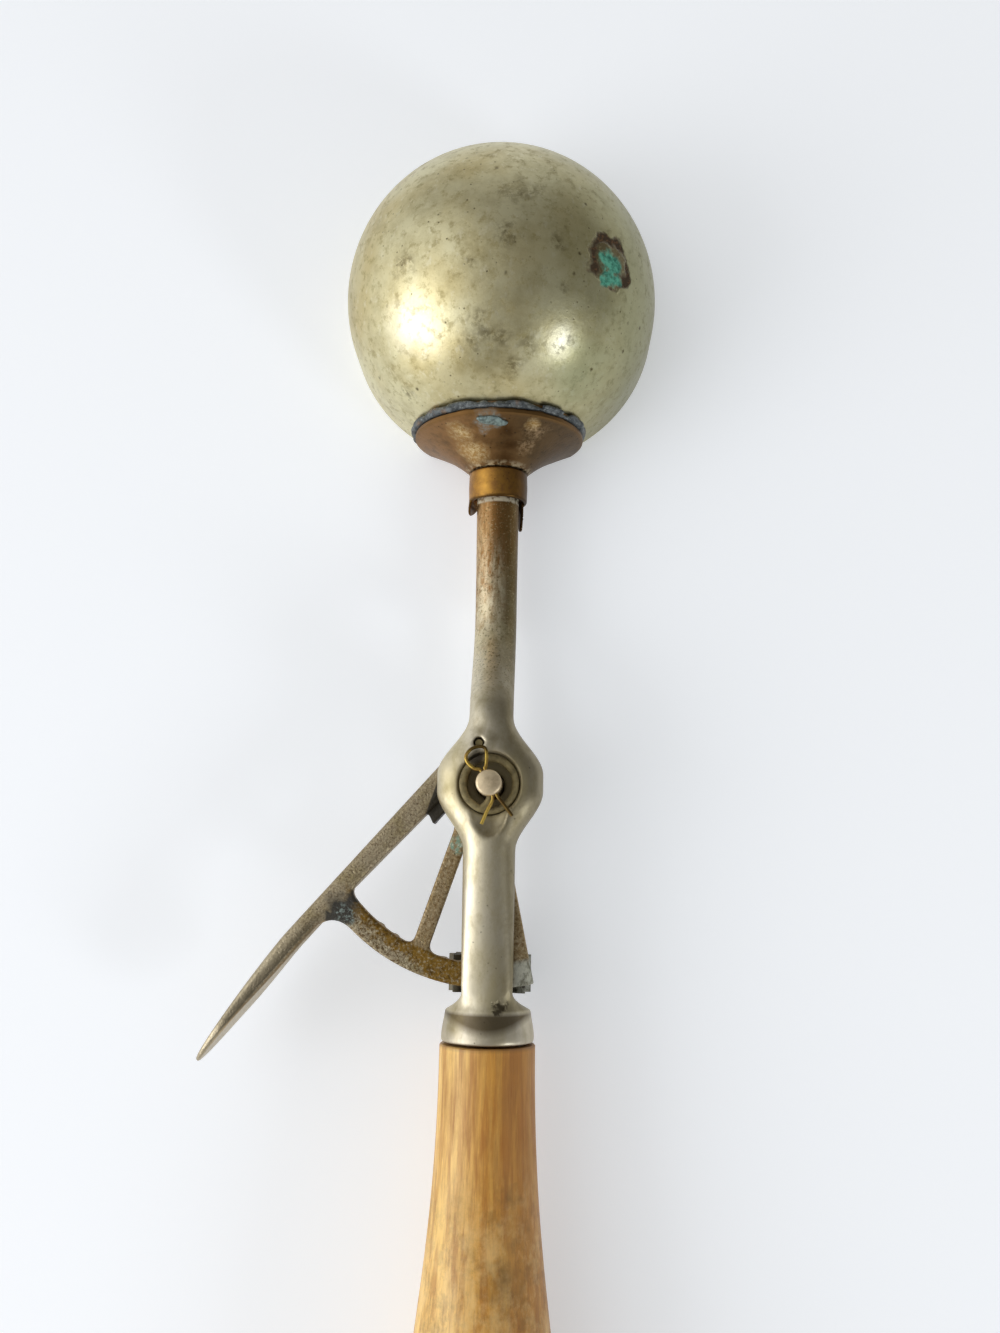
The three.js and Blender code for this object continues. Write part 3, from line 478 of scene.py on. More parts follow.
class Finish:
    """A material under way, with its colour so far and its place in millimetres in the maker's frame."""

    def __init__(self, name, base):
        self.material = bpy.data.materials.new(name)
        self.material.use_nodes = True
        self.tree = self.material.node_tree
        self.tree.nodes.clear()
        self.base = base
        spot = self.add("TexCoord", out="Object")
        self.place = self.add("Mapping", {"Vector": spot, "Location": -ORIGIN / MM, "Scale": (1 / MM,) * 3})
        self.across, self.along, self.height = (
            self.add("SeparateXYZ", (self.place,), axis) for axis in "XYZ")

    def add(self, kind, inputs=(), out=0, **settings):
        return add_node(self.tree, kind, inputs, out, **settings)

    def finished(self, matt=None, **inputs):
        """The material with its shader's inputs; where a matt mask is given, the metal shows outside it."""
        if matt is not None:
            inputs["Metallic"] = self.add("Math", (1.0, matt), operation="SUBTRACT")
        inputs["Base_Color"] = self.base
        sockets = {name.replace("_", " "): value for name, value in inputs.items()}
        self.add("OutputMaterial", (self.add("BsdfPrincipled", sockets),))
        return self.material

    def from_pivot(self):
        """Distance from the lever's axis."""
        flat = self.add("VectorMath", (self.place, (1, 1, 0)), operation="MULTIPLY")
        return self.add("VectorMath", (flat,), "Value", operation="LENGTH")

    def where(self, *limits):
        """A mask where every limit shows: a mask, a share, or a value and its two bounds."""
        masks = [self.add("MapRange", limit) if isinstance(limit, tuple) else limit for limit in limits]
        whole = masks[0]
        for mask in masks[1:]:
            whole = self.add("Math", (whole, mask), operation="MULTIPLY")
        return whole

    def stack(self, *masks):
        """One mask where any of several shows."""
        whole = masks[0]
        for mask in masks[1:]:
            whole = self.add("Math", (whole, mask), operation="MAXIMUM")
        return whole

    def clouds(self, size, low, high, detail=3, rough=0.55, stretch=(1, 1, 1)):
        """Soft patches of a size in millimetres, as a mask that rises from low to high."""
        at = self.add("Mapping", {"Vector": self.place, "Scale": stretch})
        fac = self.add("TexNoise", {"Vector": at, "Scale": 1 / size, "Detail": detail, "Roughness": rough})
        return self.where((fac, low, high))

    def specks(self, spacing, size, patch, cover):
        """Ragged specks of a size, a spacing apart, gathered in patches: cover is the share of patches."""
        wander = self.add("TexNoise", {"Vector": self.place, "Scale": 1.5 / size, "Detail": 2}, "Color")
        shift = self.add("VectorMath", {0: wander, "Scale": 0.9 * size}, operation="SCALE")
        at = self.add("VectorMath", (self.place, shift), operation="ADD")
        cell = self.add("TexVoronoi", {"Vector": at, "Scale": 1 / spacing})
        near = size / spacing
        gate = self.clouds(patch, 0.62 - 0.3 * cover, 0.7 - 0.3 * cover)
        return self.where((cell, near, near * 0.3), gate)

    def stain(self, centre, radius, edge, ragged):
        """A ragged spot round a point: 1 inside, fading out over its edge."""
        wander = self.add("TexNoise", {"Vector": self.place, "Scale": 1.2 / radius, "Detail": 6}, "Color")
        even = self.add("VectorMath", (wander, (0.5, 0.5, 0.5)), operation="SUBTRACT")
        shift = self.add("VectorMath", {0: even, "Scale": ragged * radius}, operation="SCALE")
        at = self.add("VectorMath", (self.place, shift), operation="ADD")
        far = self.add("VectorMath", (at, centre), "Value", operation="DISTANCE")
        return self.where((far, radius, radius - edge))

    def stains(self, spots, softness, ragged):
        """Several spots in one mask, each given by the place of its centre and its radius."""
        return self.stack(*(self.stain(at, radius, radius * softness, ragged) for *at, radius in spots))

    def coat(self, under, over, strength, *limits):
        """A colour laid over another where every limit shows; either may be a hex colour."""
        under, over = (srgb(tone) if isinstance(tone, str) else tone for tone in (under, over))
        mask = self.where(*limits, strength)
        return self.add("Mix", {0: mask, 6: under, 7: over}, 2, data_type="RGBA")

    def lay(self, over, strength, *limits):
        """Lays a colour over the finish so far."""
        self.base = self.coat(self.base, over, strength, *limits)

    def dented(self, size, depth, normal=None, stretch=(1, 1, 1)):
        """An uneven skin with bumps of a size and a depth in millimetres."""
        inputs = {"Height": self.clouds(size, 0.25, 0.75, stretch=stretch), "Distance": depth * MM}
        if normal is not None:
            inputs["Normal"] = normal
        return self.add("Bump", inputs)

    def sunk(self, mask, depth, normal):
        """Lowers the skin by a depth in millimetres where a mask shows it."""
        left = self.add("Math", (1.0, mask), operation="SUBTRACT")
        return self.add("Bump", {"Height": left, "Distance": depth * MM, "Normal": normal})


def colours(context):
    group = context.scene.scoop_finish
    return SimpleNamespace(**{name: tuple(getattr(group, name)) for name in type(group).__annotations__})


def nickel_bowl(c):
    """Aged nickel plate on spun brass: a warm satin sheen, clouded yellow, freckled olive and stained."""
    f = Finish("aged_nickel_plate", c.nickel)
    mottle = f.clouds(1.6, 0.52, 0.64, detail=7, rough=0.72)
    f.lay(c.yellowed, 1, f.clouds(15, 0.4, 0.66))
    f.lay(c.tarnish, 0.5, f.clouds(5.5, 0.44, 0.72, detail=9, rough=0.72))
    f.lay(c.tarnish, 0.45, mottle)
    f.lay("E2DBBC", 0.45, f.clouds(2.0, 0.56, 0.66, detail=7, rough=0.72, stretch=(1.3, 0.9, 1.1)))
    f.lay("8E9878", 0.45, f.stain((14.0, 70.8, 15.6), 7.5, 6.0, 1.0))
    # The side away from the lever is darkened with painted shade and peppered with specks
    painted_shade_side = f.where((f.across, 2.0, 23.0))
    f.lay("7C7D5C", 0.72, painted_shade_side)
    smudges = f.stains((
        (-0.4, 73.9, 23.4, 3.4), (2.8, 69.9, 20.0, 2.4), (-4.2, 73.3, 22.7, 2.6), (-2.4, 76.0, 24.6, 2.6),
        (5.4, 72.8, 22.0, 2.2), (-15.6, 86.8, 23.6, 3.6), (2.0, 89.6, 28.4, 2.8), (-4.0, 84.7, 27.7, 1.2),
        (10.6, 89.2, 26.4, 2.4), (11.2, 81.7, 24.8, 1.2), (4.0, 97.0, 27.0, 4.0), (-15.4, 68.6, 10.5, 2.0),
        (-7.7, 66.4, 13.7, 0.9), (9.0, 68.0, 12.0, 1.4)), 0.9, 2.2)
    f.lay(c.smudge, 0.66, smudges, f.clouds(1.1, 0.42, 0.54, detail=6, rough=0.7))
    # A warm place, and two painted highlights that whiten the plate where the lamps shine on it
    f.lay("6E5E2C", 0.35, f.stain((-1.2, 71.0, 20.6), 5.6, 4.4, 1.6))
    f.lay("F0EEE4", 0.36, f.stain((11.0, 74.2, 20.9), 3.6, 3.2, 0.9))
    f.lay("ECE8DA", 0.45, f.stain((-14.2, 76.7, 20.7), 6.5, 6.0, 0.9))
    freckles = f.stack(f.specks(1.9, 0.22, 8, 0.65), f.specks(4.4, 0.46, 12, 0.85),
                       f.where(f.specks(1.1, 0.17, 6, 0.75), painted_shade_side))
    f.lay("4A3E22", 0.85, freckles)
    # One sore is eaten brown, ringed with rust and filled with verdigris
    crust = f.stain((19.3, 88.2, 20.6), 5.3, 0.9, 1.5)
    inside = f.stain((19.6, 88.0, 20.6), 4.1, 0.8, 1.5)
    ring = f.add("Math", (crust, inside), operation="SUBTRACT")
    f.lay("5E4E30", 0.8, crust, f.clouds(0.9, 0.3, 0.5, detail=6, rough=0.72))
    f.lay(f.coat(c.rust, "684A2C", 1, f.clouds(0.5, 0.52, 0.64, detail=4)), 0.95, ring)
    salts = f.stains(((19.6, 87.6, 20.6, 3.3), (18.4, 85.2, 20.8, 2.0)), 0.3, 1.7)
    green = f.where(salts, f.clouds(1.3, 0.28, 0.44, detail=5))
    f.lay(f.coat(c.verdigris, "2C6553", 1, f.clouds(0.9, 0.42, 0.64, detail=5, rough=0.7)), 1, green)
    matt = f.stack(ring, green)
    satin = f.add("MapRange", (mottle, 0, 1, 0.38, 0.52))
    skin = f.sunk(freckles, 0.02, f.dented(0.7, 0.012, f.dented(9, 0.05)))
    return f.finished(matt, Roughness=f.stack(satin, matt), Normal=f.sunk(ring, 0.12, skin))


def browned_flange(c):
    """Bare spun brass browned by age: satin, rubbed cream with a painted highlight down one side of the
    neck, painted shade and a smaller painted highlight on its right, crusted at its top.
    """
    f = Finish("browned_spun_brass", c.browned)
    flat = f.add("VectorMath", (f.place, (1, 0, 1)), operation="MULTIPLY")
    around = f.add("VectorMath", (flat,), operation="NORMALIZE")
    # Faint scores a few degrees wide run down the trumpet
    streak = f.add("TexNoise", {"Vector": around, "Scale": 16.0, "Detail": 6, "Roughness": 0.75})
    scored = f.add("Bump", {"Height": streak, "Distance": 0.03 * MM})
    torn = f.clouds(0.6, 0.44, 0.62, detail=7, rough=0.75)
    worn = f.stains(((-4.6, 59.6, 6.2, 3.4), (6.4, 62.6, 11.8, 1.8), (-6.4, 61.9, 9.8, 3.0)), 0.95, 1.2)
    crust = f.stain((-1.0, 62.7, 13.6), 3.4, 1.2, 1.8)
    flux = f.where((f.along, 58.4, 57.8), f.clouds(0.8, 0.46, 0.6, detail=5))
    # Painted shade darkens the trumpet toward its right side
    f.lay("58462E", 0.9, (f.across, -6.0, 6.0))
    f.lay(c.pit, 0.55, f.clouds(2.6, 0.46, 0.7, detail=7, rough=0.72))
    # Rubbed brass, and a painted highlight in cream, down the left of the neck
    f.lay("C49A58", 0.55, worn)
    f.lay("E4D2A4", 0.75, torn, worn)
    trough = f.stains(((1.6, 58.6, 6.0, 2.6), (2.2, 60.4, 8.2, 2.6), (1.8, 61.8, 11.0, 2.2)), 0.9, 1.0)
    f.lay("3E260E", 0.75, trough)
    # A painted highlight, pale and ragged, on the trumpet's right
    f.lay("D2B288", 0.6, f.stains(((5.0, 60.4, 7.4, 2.2), (6.8, 61.9, 9.8, 3.0)), 1.0, 1.8), torn)
    f.lay("7F908C", 0.8, crust, torn)
    f.lay("B8A67E", 0.6, flux)
    f.lay(c.pit, 0.75, f.specks(1.3, 0.24, 5, 0.7))
    f.lay("7A5A32", 0.6, (f.along, 63.3, 63.6))
    dull = f.add("MapRange", (worn, 0, 1, 0.46, 0.34))
    return f.finished(f.stack(flux, crust), Roughness=dull, Normal=f.dented(0.8, 0.02, scored))


def solder_grey(c):
    """Soft solder run on by hand: dull blue-grey with pale crusts and dark hollows."""
    f = Finish("soft_solder", c.solder)
    f.lay("4B4F4F", 1, f.clouds(1.6, 0.44, 0.58, detail=6, rough=0.7))
    f.lay("A4A8A2", 0.6, f.clouds(0.6, 0.54, 0.64, detail=6, rough=0.7))
    f.lay(c.bronze, 0.5, f.clouds(2.6, 0.58, 0.7, detail=4))
    f.lay("1D1E1C", 0.75, (f.along, 64.7, 64.3), f.clouds(1.2, 0.36, 0.5, detail=4))
    dribble = f.coat("8FA09A", "66726E", 1, f.clouds(0.7, 0.42, 0.6, detail=5, rough=0.7))
    f.lay(dribble, 1, (f.along, 63.7, 63.4))
    return f.finished(Metallic=0.75, Roughness=0.5, Normal=f.dented(0.45, 0.12))


def band_brass(c):
    """Rolled brass: golden where it is rubbed and under a painted highlight, brown in its scratches and
    darkened by painted shade on its right side.
    """
    f = Finish("rolled_brass", c.brass)
    f.lay(c.bronze, 0.75, f.clouds(1.3, 0.44, 0.6, detail=7, rough=0.72, stretch=(1, 0.8, 1)))
    # Rubbed gold, with a painted highlight along the band's upper left
    f.lay("DCA850", 0.7, f.stains(((-2.4, 55.8, 4.6, 1.8), (-2.2, 53.6, 4.7, 1.8)), 0.9, 0.8))
    # Painted shade darkens the band toward its right side
    f.lay("3A2814", 0.85, (f.across, 0.4, 4.4))
    f.lay(c.pit, 0.6, f.specks(0.9, 0.16, 3, 0.6))
    f.lay("3A2A16", 0.75, f.stack(f.where((f.along, 57.05, 57.35)), f.where((f.along, 52.45, 52.15))))
    return f.finished(Metallic=1.0, Roughness=0.38, Normal=f.dented(0.7, 0.02))


def shank_plate(c):
    """Nickel plate on a cast shank: grey satin on bar and hub, worn to brown brass toward the bowl."""
    f = Finish("worn_nickel_casting", c.casting)
    waver = f.add("TexNoise", {"Vector": f.place, "Scale": 1 / 3.5, "Detail": 8, "Roughness": 0.75})
    shift = f.add("MapRange", (waver, 0.25, 0.75, -13.0, 13.0))
    worn = f.where((f.add("Math", (f.along, shift), operation="ADD"), 25.0, 41.0))
    bloom = f.clouds(2.4, 0.46, 0.74, detail=8, rough=0.72, stretch=(1, 0.55, 1))
    scuffed = f.clouds(0.8, 0.4, 0.62, detail=7, rough=0.72, stretch=(1, 0.3, 1))
    f.lay(c.yellowed, 0.6, f.clouds(8, 0.42, 0.66, stretch=(1, 0.3, 1)))
    f.lay(c.tarnish, 0.5, bloom)
    f.lay(c.bronze, 1, worn)
    f.lay("CDB68C", 0.5, worn, f.clouds(1.4, 0.56, 0.72, detail=6, rough=0.7, stretch=(1, 0.16, 1)))
    # Painted light: the worn brass is lighter and scuffed pale along its left side
    painted_light_side = f.where((f.across, -0.6, -2.8), worn)
    f.lay("BC925C", 0.4, painted_light_side)
    f.lay("D8B684", 0.7, painted_light_side, scuffed)
    f.lay(c.smudge, 0.55, worn, f.clouds(0.9, 0.5, 0.68, detail=5, rough=0.7, stretch=(1, 0.1, 1)))
    # Painted shade darkens the shank's right side down to the bolster
    f.lay(c.smudge, 0.66, (f.across, -1.2, 3.0), (f.along, -36.8, -36.2))
    well = f.where((f.from_pivot(), 6.5, 5.3), (f.height, 16.3, 14.9))
    f.lay("AA9C74", 0.9, well)
    grease = f.stains((
        (0.0, -6.6, 15.0, 2.6), (0.0, 7.6, 15.8, 2.0), (1.0, 12.5, 13.4, 4.6),
        (-1.9, 8.6, 15.6, 1.9)), 0.9, 1.2)
    f.lay(c.smudge, 0.6, grease)
    # A painted shadow lies dark on the hub under the split pin's eye
    f.lay(c.pit, 0.85, f.stain((-2.3, 4.5, 15.4), 1.7, 0.9, 0.8))
    f.lay("A39B92", 0.4, (f.along, -36.4, -37.0))
    # Behind its ridge the bolster carries a painted dark reflection, down to a line that curves like a
    # smile
    square = f.add("Math", (f.across, f.across), operation="MULTIPLY")
    smile = f.add("Math", (square, -0.052, 40.2), operation="MULTIPLY_ADD")
    above = f.add("Math", (f.along, smile), operation="ADD")
    f.lay("4E4026", 0.85, (f.along, -36.5, -37.1), (above, -0.3, 1.2))
    holes = f.stains(((2.0, -35.7, 12.2, 1.4), (3.4, -35.4, 11.9, 0.8), (1.6, -36.4, 12.4, 0.8)), 0.5, 2.0)
    f.lay(c.pit, 0.85, holes)
    # Painted shade dims the hub's lit left side, and lies on the bolster's upper left
    f.lay(c.tarnish, 0.6, f.stains(((-6.6, -0.6, 14.6, 4.0), (-5.4, -38.9, 10.5, 2.6)), 0.95, 1.0))
    # Between hub and band the plate is scuffed pale, and painted shade darkens its right side
    middle = f.where((f.along, 17.0, 23.0), (f.along, 46.0, 36.0))
    f.lay("E2D6B6", 0.8, middle, (f.across, 2.0, 0.6), scuffed)
    f.lay(c.smudge, 0.6, middle, (f.across, 0.8, 3.0))
    on_neck = f.where((f.along, 12.0, 20.0))
    f.lay(c.smudge, 0.55, on_neck, f.clouds(0.42, 0.56, 0.62, detail=4, rough=0.6))
    f.lay("D8C8A0", 0.25, on_neck, f.clouds(0.38, 0.58, 0.64, detail=4, rough=0.6))
    f.lay(c.pit, 0.6, f.specks(1.3, 0.2, 6, 0.45))
    flux = f.where((f.along, 51.2, 51.5), f.clouds(0.9, 0.34, 0.5, detail=5))
    f.lay("D6CCB0", 0.8, flux)
    satin = f.add("MapRange", (bloom, 0, 1, 0.43, 0.56))
    skin = f.dented(0.6, 0.012, f.dented(7, 0.05, stretch=(1, 0.4, 1)))
    return f.finished(f.stack(flux, f.where(well, 0.75)), Normal=f.sunk(holes, 0.15, skin),
                      Roughness=f.stack(satin, f.where(well, 0.6)))


def lever_plate_finish(c):
    """Plate worn to brass on a sand casting: speckled grey-brown and matt, ochre along the rubbed rim."""
    f = Finish("pitted_plate_on_brass", c.plate)
    far = f.from_pivot()
    # Distance to the left of the bar's own line through the pivot
    offset = f.add("VectorMath", (f.place, (-0.749, 0.6626, 0)), "Value", operation="DOT_PRODUCT")
    grains = f.clouds(0.36, 0.46, 0.62, detail=5, rough=0.75)
    f.lay(c.tarnish, 0.5, f.clouds(3.4, 0.45, 0.7, detail=6))
    f.lay("6C5A42", 0.7, grains)
    f.lay("DCD0B2", 0.35, f.clouds(0.28, 0.54, 0.66, detail=4, rough=0.7, stretch=(1, 1.3, 1)))
    # The rim and the spokes are flecked cream and brown
    off_bar = f.where((offset, 5.4, 4.4))
    f.lay("5C4526", 0.75, off_bar, f.clouds(0.5, 0.5, 0.57, detail=4, rough=0.6))
    f.lay("E2D6B6", 0.5, off_bar, f.clouds(0.44, 0.56, 0.62, detail=4, rough=0.6))
    # The rim is rubbed up to a ragged line, and over its whole width where it passes under the bar
    waver = f.add("TexNoise", {"Vector": f.place, "Scale": 1 / 1.3, "Detail": 6, "Roughness": 0.7})
    ragged = f.add("MapRange", (waver, 0.3, 0.7, 29.4, 32.2))
    wider = f.add("MapRange", (f.across, -12.5, -7.5, 0, 4.0))
    reach = f.add("Math", (ragged, wider), operation="ADD")
    spare = f.add("Math", (reach, far), operation="SUBTRACT")
    rubbed = f.where((spare, -0.5, 0.5), (far, 28.5, 28.9), (f.across, -24.0, -22.6), (f.across, 3.4, 2.4))
    ochre = f.coat(c.ochre, "4E340C", 0.8, f.clouds(1.1, 0.48, 0.64, detail=6, rough=0.65))
    f.lay(ochre, 0.92, rubbed, f.clouds(0.5, 0.34, 0.48, detail=5, rough=0.65))
    f.lay("A88C60", 0.4, (offset, 5.2, 4.4), (far, 29.0, 28.2))
    # Grime and painted shade darken the corner where the bar meets the rim
    grime_and_shade = f.stains((
        (-24.2, -20.6, 9.6, 3.3), (-22.4, -18.9, 9.6, 1.6), (-26.0, -22.0, 9.6, 1.6)), 0.45, 1.6)
    f.lay("1E1C14", 0.94, grime_and_shade)
    # A dark wedge of painted shade fills the corner between the bar and the hub
    slanted = f.add("VectorMath", (f.place, (1, -0.35, 0)), "Value", operation="DOT_PRODUCT")
    lug = f.where((slanted, -9.3, -9.05), (f.along, -7.1, -6.6))
    f.lay("231E10", 0.96, lug)
    # The rim's free end is chalky
    end = f.where((f.across, 3.6, 4.6), (far, 28.6, 29.4))
    chalk = f.clouds(1.1, 0.46, 0.6, detail=6, rough=0.7, stretch=(1, 0.5, 1))
    f.lay(f.coat("C2C2B0", "6E6E5C", 1, chalk), 0.85, end)
    salts = f.stain((-5.2, -9.8, 9.6), 2.2, 0.9, 1.8)
    green = f.where(salts, f.clouds(0.8, 0.42, 0.56, detail=6, rough=0.7))
    f.lay(f.coat(c.lichen, "D4DCCC", 1, f.clouds(0.5, 0.5, 0.6, detail=4)), 0.7, green)
    ashes = f.stain((-24.0, -21.8, 9.6), 2.4, 1.0, 1.8)
    f.lay("98A89E", 0.6, ashes, f.clouds(0.6, 0.5, 0.58, detail=6, rough=0.7))
    pits = f.specks(0.8, 0.2, 3, 0.8)
    f.lay(c.pit, 0.42, pits)
    smooth_leaf = f.where((far, 38.0, 46.0))
    f.lay(c.leaf, 0.55, smooth_leaf)
    # The leaf's top is dark along its inner edge
    f.lay("4E4636", 0.6, (far, 34.0, 38.0), (offset, 7.5, 6.9), (f.height, 8.9, 9.3))
    coarse = f.add("MapRange", (grains, 0, 1, 0.5, 0.66))
    dull = f.add("Math", (coarse, f.where(smooth_leaf, 0.16)), operation="SUBTRACT")
    skin = f.sunk(pits, 0.05, f.dented(0.45, 0.05))
    return f.finished(f.stack(green, grime_and_shade, lug, end), Roughness=dull, Normal=skin)


def plain_metal(name, base_colour, dark_colour, roughness, size=1.4):
    """A small metal piece with a worn skin: its colour clouds toward a darker one."""
    f = Finish(name, base_colour)
    bloom = f.clouds(size, 0.45, 0.72, detail=6, rough=0.65)
    f.lay(dark_colour, 0.7, bloom)
    dull = f.add("MapRange", (bloom, 0, 1, roughness, roughness + 0.16))
    return f.finished(Metallic=1.0, Roughness=dull, Normal=f.dented(size / 3, 0.015))


def spring_steel(c):
    """Spring wire under old grease: olive and soft, with a black painted shadow below the split pin's eye.
    """
    f = Finish("greased_spring_steel", "92845C")
    f.lay("5E5236", 0.8, f.clouds(1.2, 0.42, 0.66, detail=6, rough=0.65))
    painted_eye_shadow = f.stain((-2.3, 4.3, 16.0), 1.9, 0.9, 0.6)
    f.lay(c.pit, 0.95, painted_eye_shadow)
    metal = f.add("MapRange", (painted_eye_shadow, 0, 1, 0.5, 0.1))
    return f.finished(Metallic=metal, Roughness=0.68, Normal=f.dented(0.5, 0.02))


def pinion_steel(c):
    """Blackened gear steel, crusted pale where its free end has dried out."""
    f = Finish("blackened_pinion_steel", "3A352E")
    f.lay(c.pit, 0.7, f.clouds(1.4, 0.45, 0.72, detail=6, rough=0.65))
    f.lay("6E6858", 0.8, (f.across, -2.6, -4.0))
    crust = f.where((f.across, 2.6, 4.4), f.clouds(0.8, 0.36, 0.56, detail=6, rough=0.72))
    f.lay("B4B2A0", 0.85, crust)
    return f.finished(crust, Roughness=0.5, Normal=f.dented(0.5, 0.02))


def split_pin_brass(c):
    """Half-round brass wire, bright on one leg and browned on the other."""
    f = Finish("split_pin_brass", "B89C4C")
    f.lay(c.bronze, 0.75, f.clouds(0.9, 0.42, 0.66, detail=4))
    f.lay("4C3A20", 0.9, (f.across, 0.8, 1.7))
    f.lay("4A3A1E", 0.85, (f.along, 4.4, 5.3))
    return f.finished(Metallic=1.0, Roughness=0.36)


def honey_wood(c):
    """Oiled turned hardwood: streaked along its grain, golden under painted light on one side and darkened
    by painted shade on the other.
    """
    f = Finish("turned_hardwood", c.wood)
    fine = f.clouds(0.5, 0.5, 0.66, detail=4, rough=0.7, stretch=(1, 0.05, 1))
    mottle = f.clouds(4.2, 0.44, 0.72, detail=8, rough=0.7, stretch=(1, 0.4, 1))
    # Painted shade darkens the handle toward its right side
    f.lay(c.grain, 0.6, (f.across, -6.5, 6.0))
    # Painted light brightens the handle's left side
    f.lay("FFD47C", 0.85, (f.across, 0.6, -5.0))
    # Grain runs along the handle: streaks are some twenty times as long as they are wide
    f.lay("AE6E28", 0.62, f.clouds(1.5, 0.46, 0.58, detail=5, rough=0.62, stretch=(1, 0.05, 1)))
    f.lay("F4C468", 0.5, f.clouds(1.7, 0.5, 0.72, detail=4, stretch=(1, 0.045, 1)))
    f.lay("96602A", 0.3, fine)
    f.lay("96652C", 0.42, mottle)
    ribbons = f.clouds(1.1, 0.46, 0.6, detail=6, rough=0.7, stretch=(1, 0.07, 1))
    f.lay("A85F18", 0.45, f.stain((1.0, -56.0, 14.0), 16.0, 12.0, 0.5), ribbons)
    # The half toward the butt is smeared with grime and dabbed with wax
    low_half = f.where((f.along, -58.0, -72.0))
    smears = f.clouds(2.4, 0.48, 0.62, detail=8, rough=0.75, stretch=(0.8, 0.7, 0.8))
    f.lay("6A4C20", 0.34, low_half, smears)
    dabs = f.clouds(3.0, 0.46, 0.64, detail=8, rough=0.7, stretch=(0.9, 0.5, 0.9))
    f.lay("F6D08A", 0.5, low_half, dabs)
    marks = f.stains(((4.0, -64.5, 12.0, 2.4), (1.4, -67.5, 12.8, 1.8), (3.5, -76.0, 14.5, 4.5)), 0.8, 2.0)
    f.lay("54401F", 0.5, marks)
    f.lay("6E4A20", 0.5, (f.along, HANDLE_HIGH.y - 0.7, HANDLE_HIGH.y))
    dull = f.add("MapRange", (mottle, 0, 1, 0.42, 0.56))
    skin = f.sunk(fine, 0.012, f.dented(2.2, 0.02, stretch=(1, 0.1, 1)))
    return f.finished(Roughness=dull, Normal=skin)


def floor_paint(c):
    """A plain pale floor: it looks white to the eye and in the metal, and keeps the shadows."""
    f = Finish("pale_floor", c.floor)
    rays = ("Is Camera Ray", "Is Glossy Ray", "Is Transmission Ray")
    sight = f.stack(*(f.add("LightPath", out=ray) for ray in rays))
    return f.finished(Roughness=0.7, Emission_Color=c.floor, Emission_Strength=f.where(sight, FLOOR_GLOW))


class SCOOP_OT_bowl(bpy.types.Operator):
    """Makes the spun bowl"""
    bl_idname = "scoop.bowl"
    bl_label = "Bowl"

    def execute(self, context):
        s = sizes(context.scene.scoop_bowl)
        bead = s.wall / 2
        rim = [(s.radius - bead + bead * math.cos(a), -s.lip + bead * (1 + math.sin(a)))
               for a in spread(0, -math.pi, 9)]
        hollow = dome(s.radius - s.wall, 0, QUARTER_TURN, 56)
        profile = [*dome(s.radius, QUARTER_TURN, 0, 56), *rim, *hollow]
        shell = moved(turned(profile, 160, upright=True), y=BOWL_REACH)
        heel = rod(ROD_RADIUS + GAP, BOWL_REACH - 2 * s.radius, BOWL_REACH)
        toe = rod(ROD_TIP + GAP, BOWL_REACH, BOWL_REACH + 2 * s.radius)
        piece(cut(shell, heel, toe), "bowl_shell", "bowl", nickel_bowl(colours(context)), "frame")
        return {"FINISHED"}


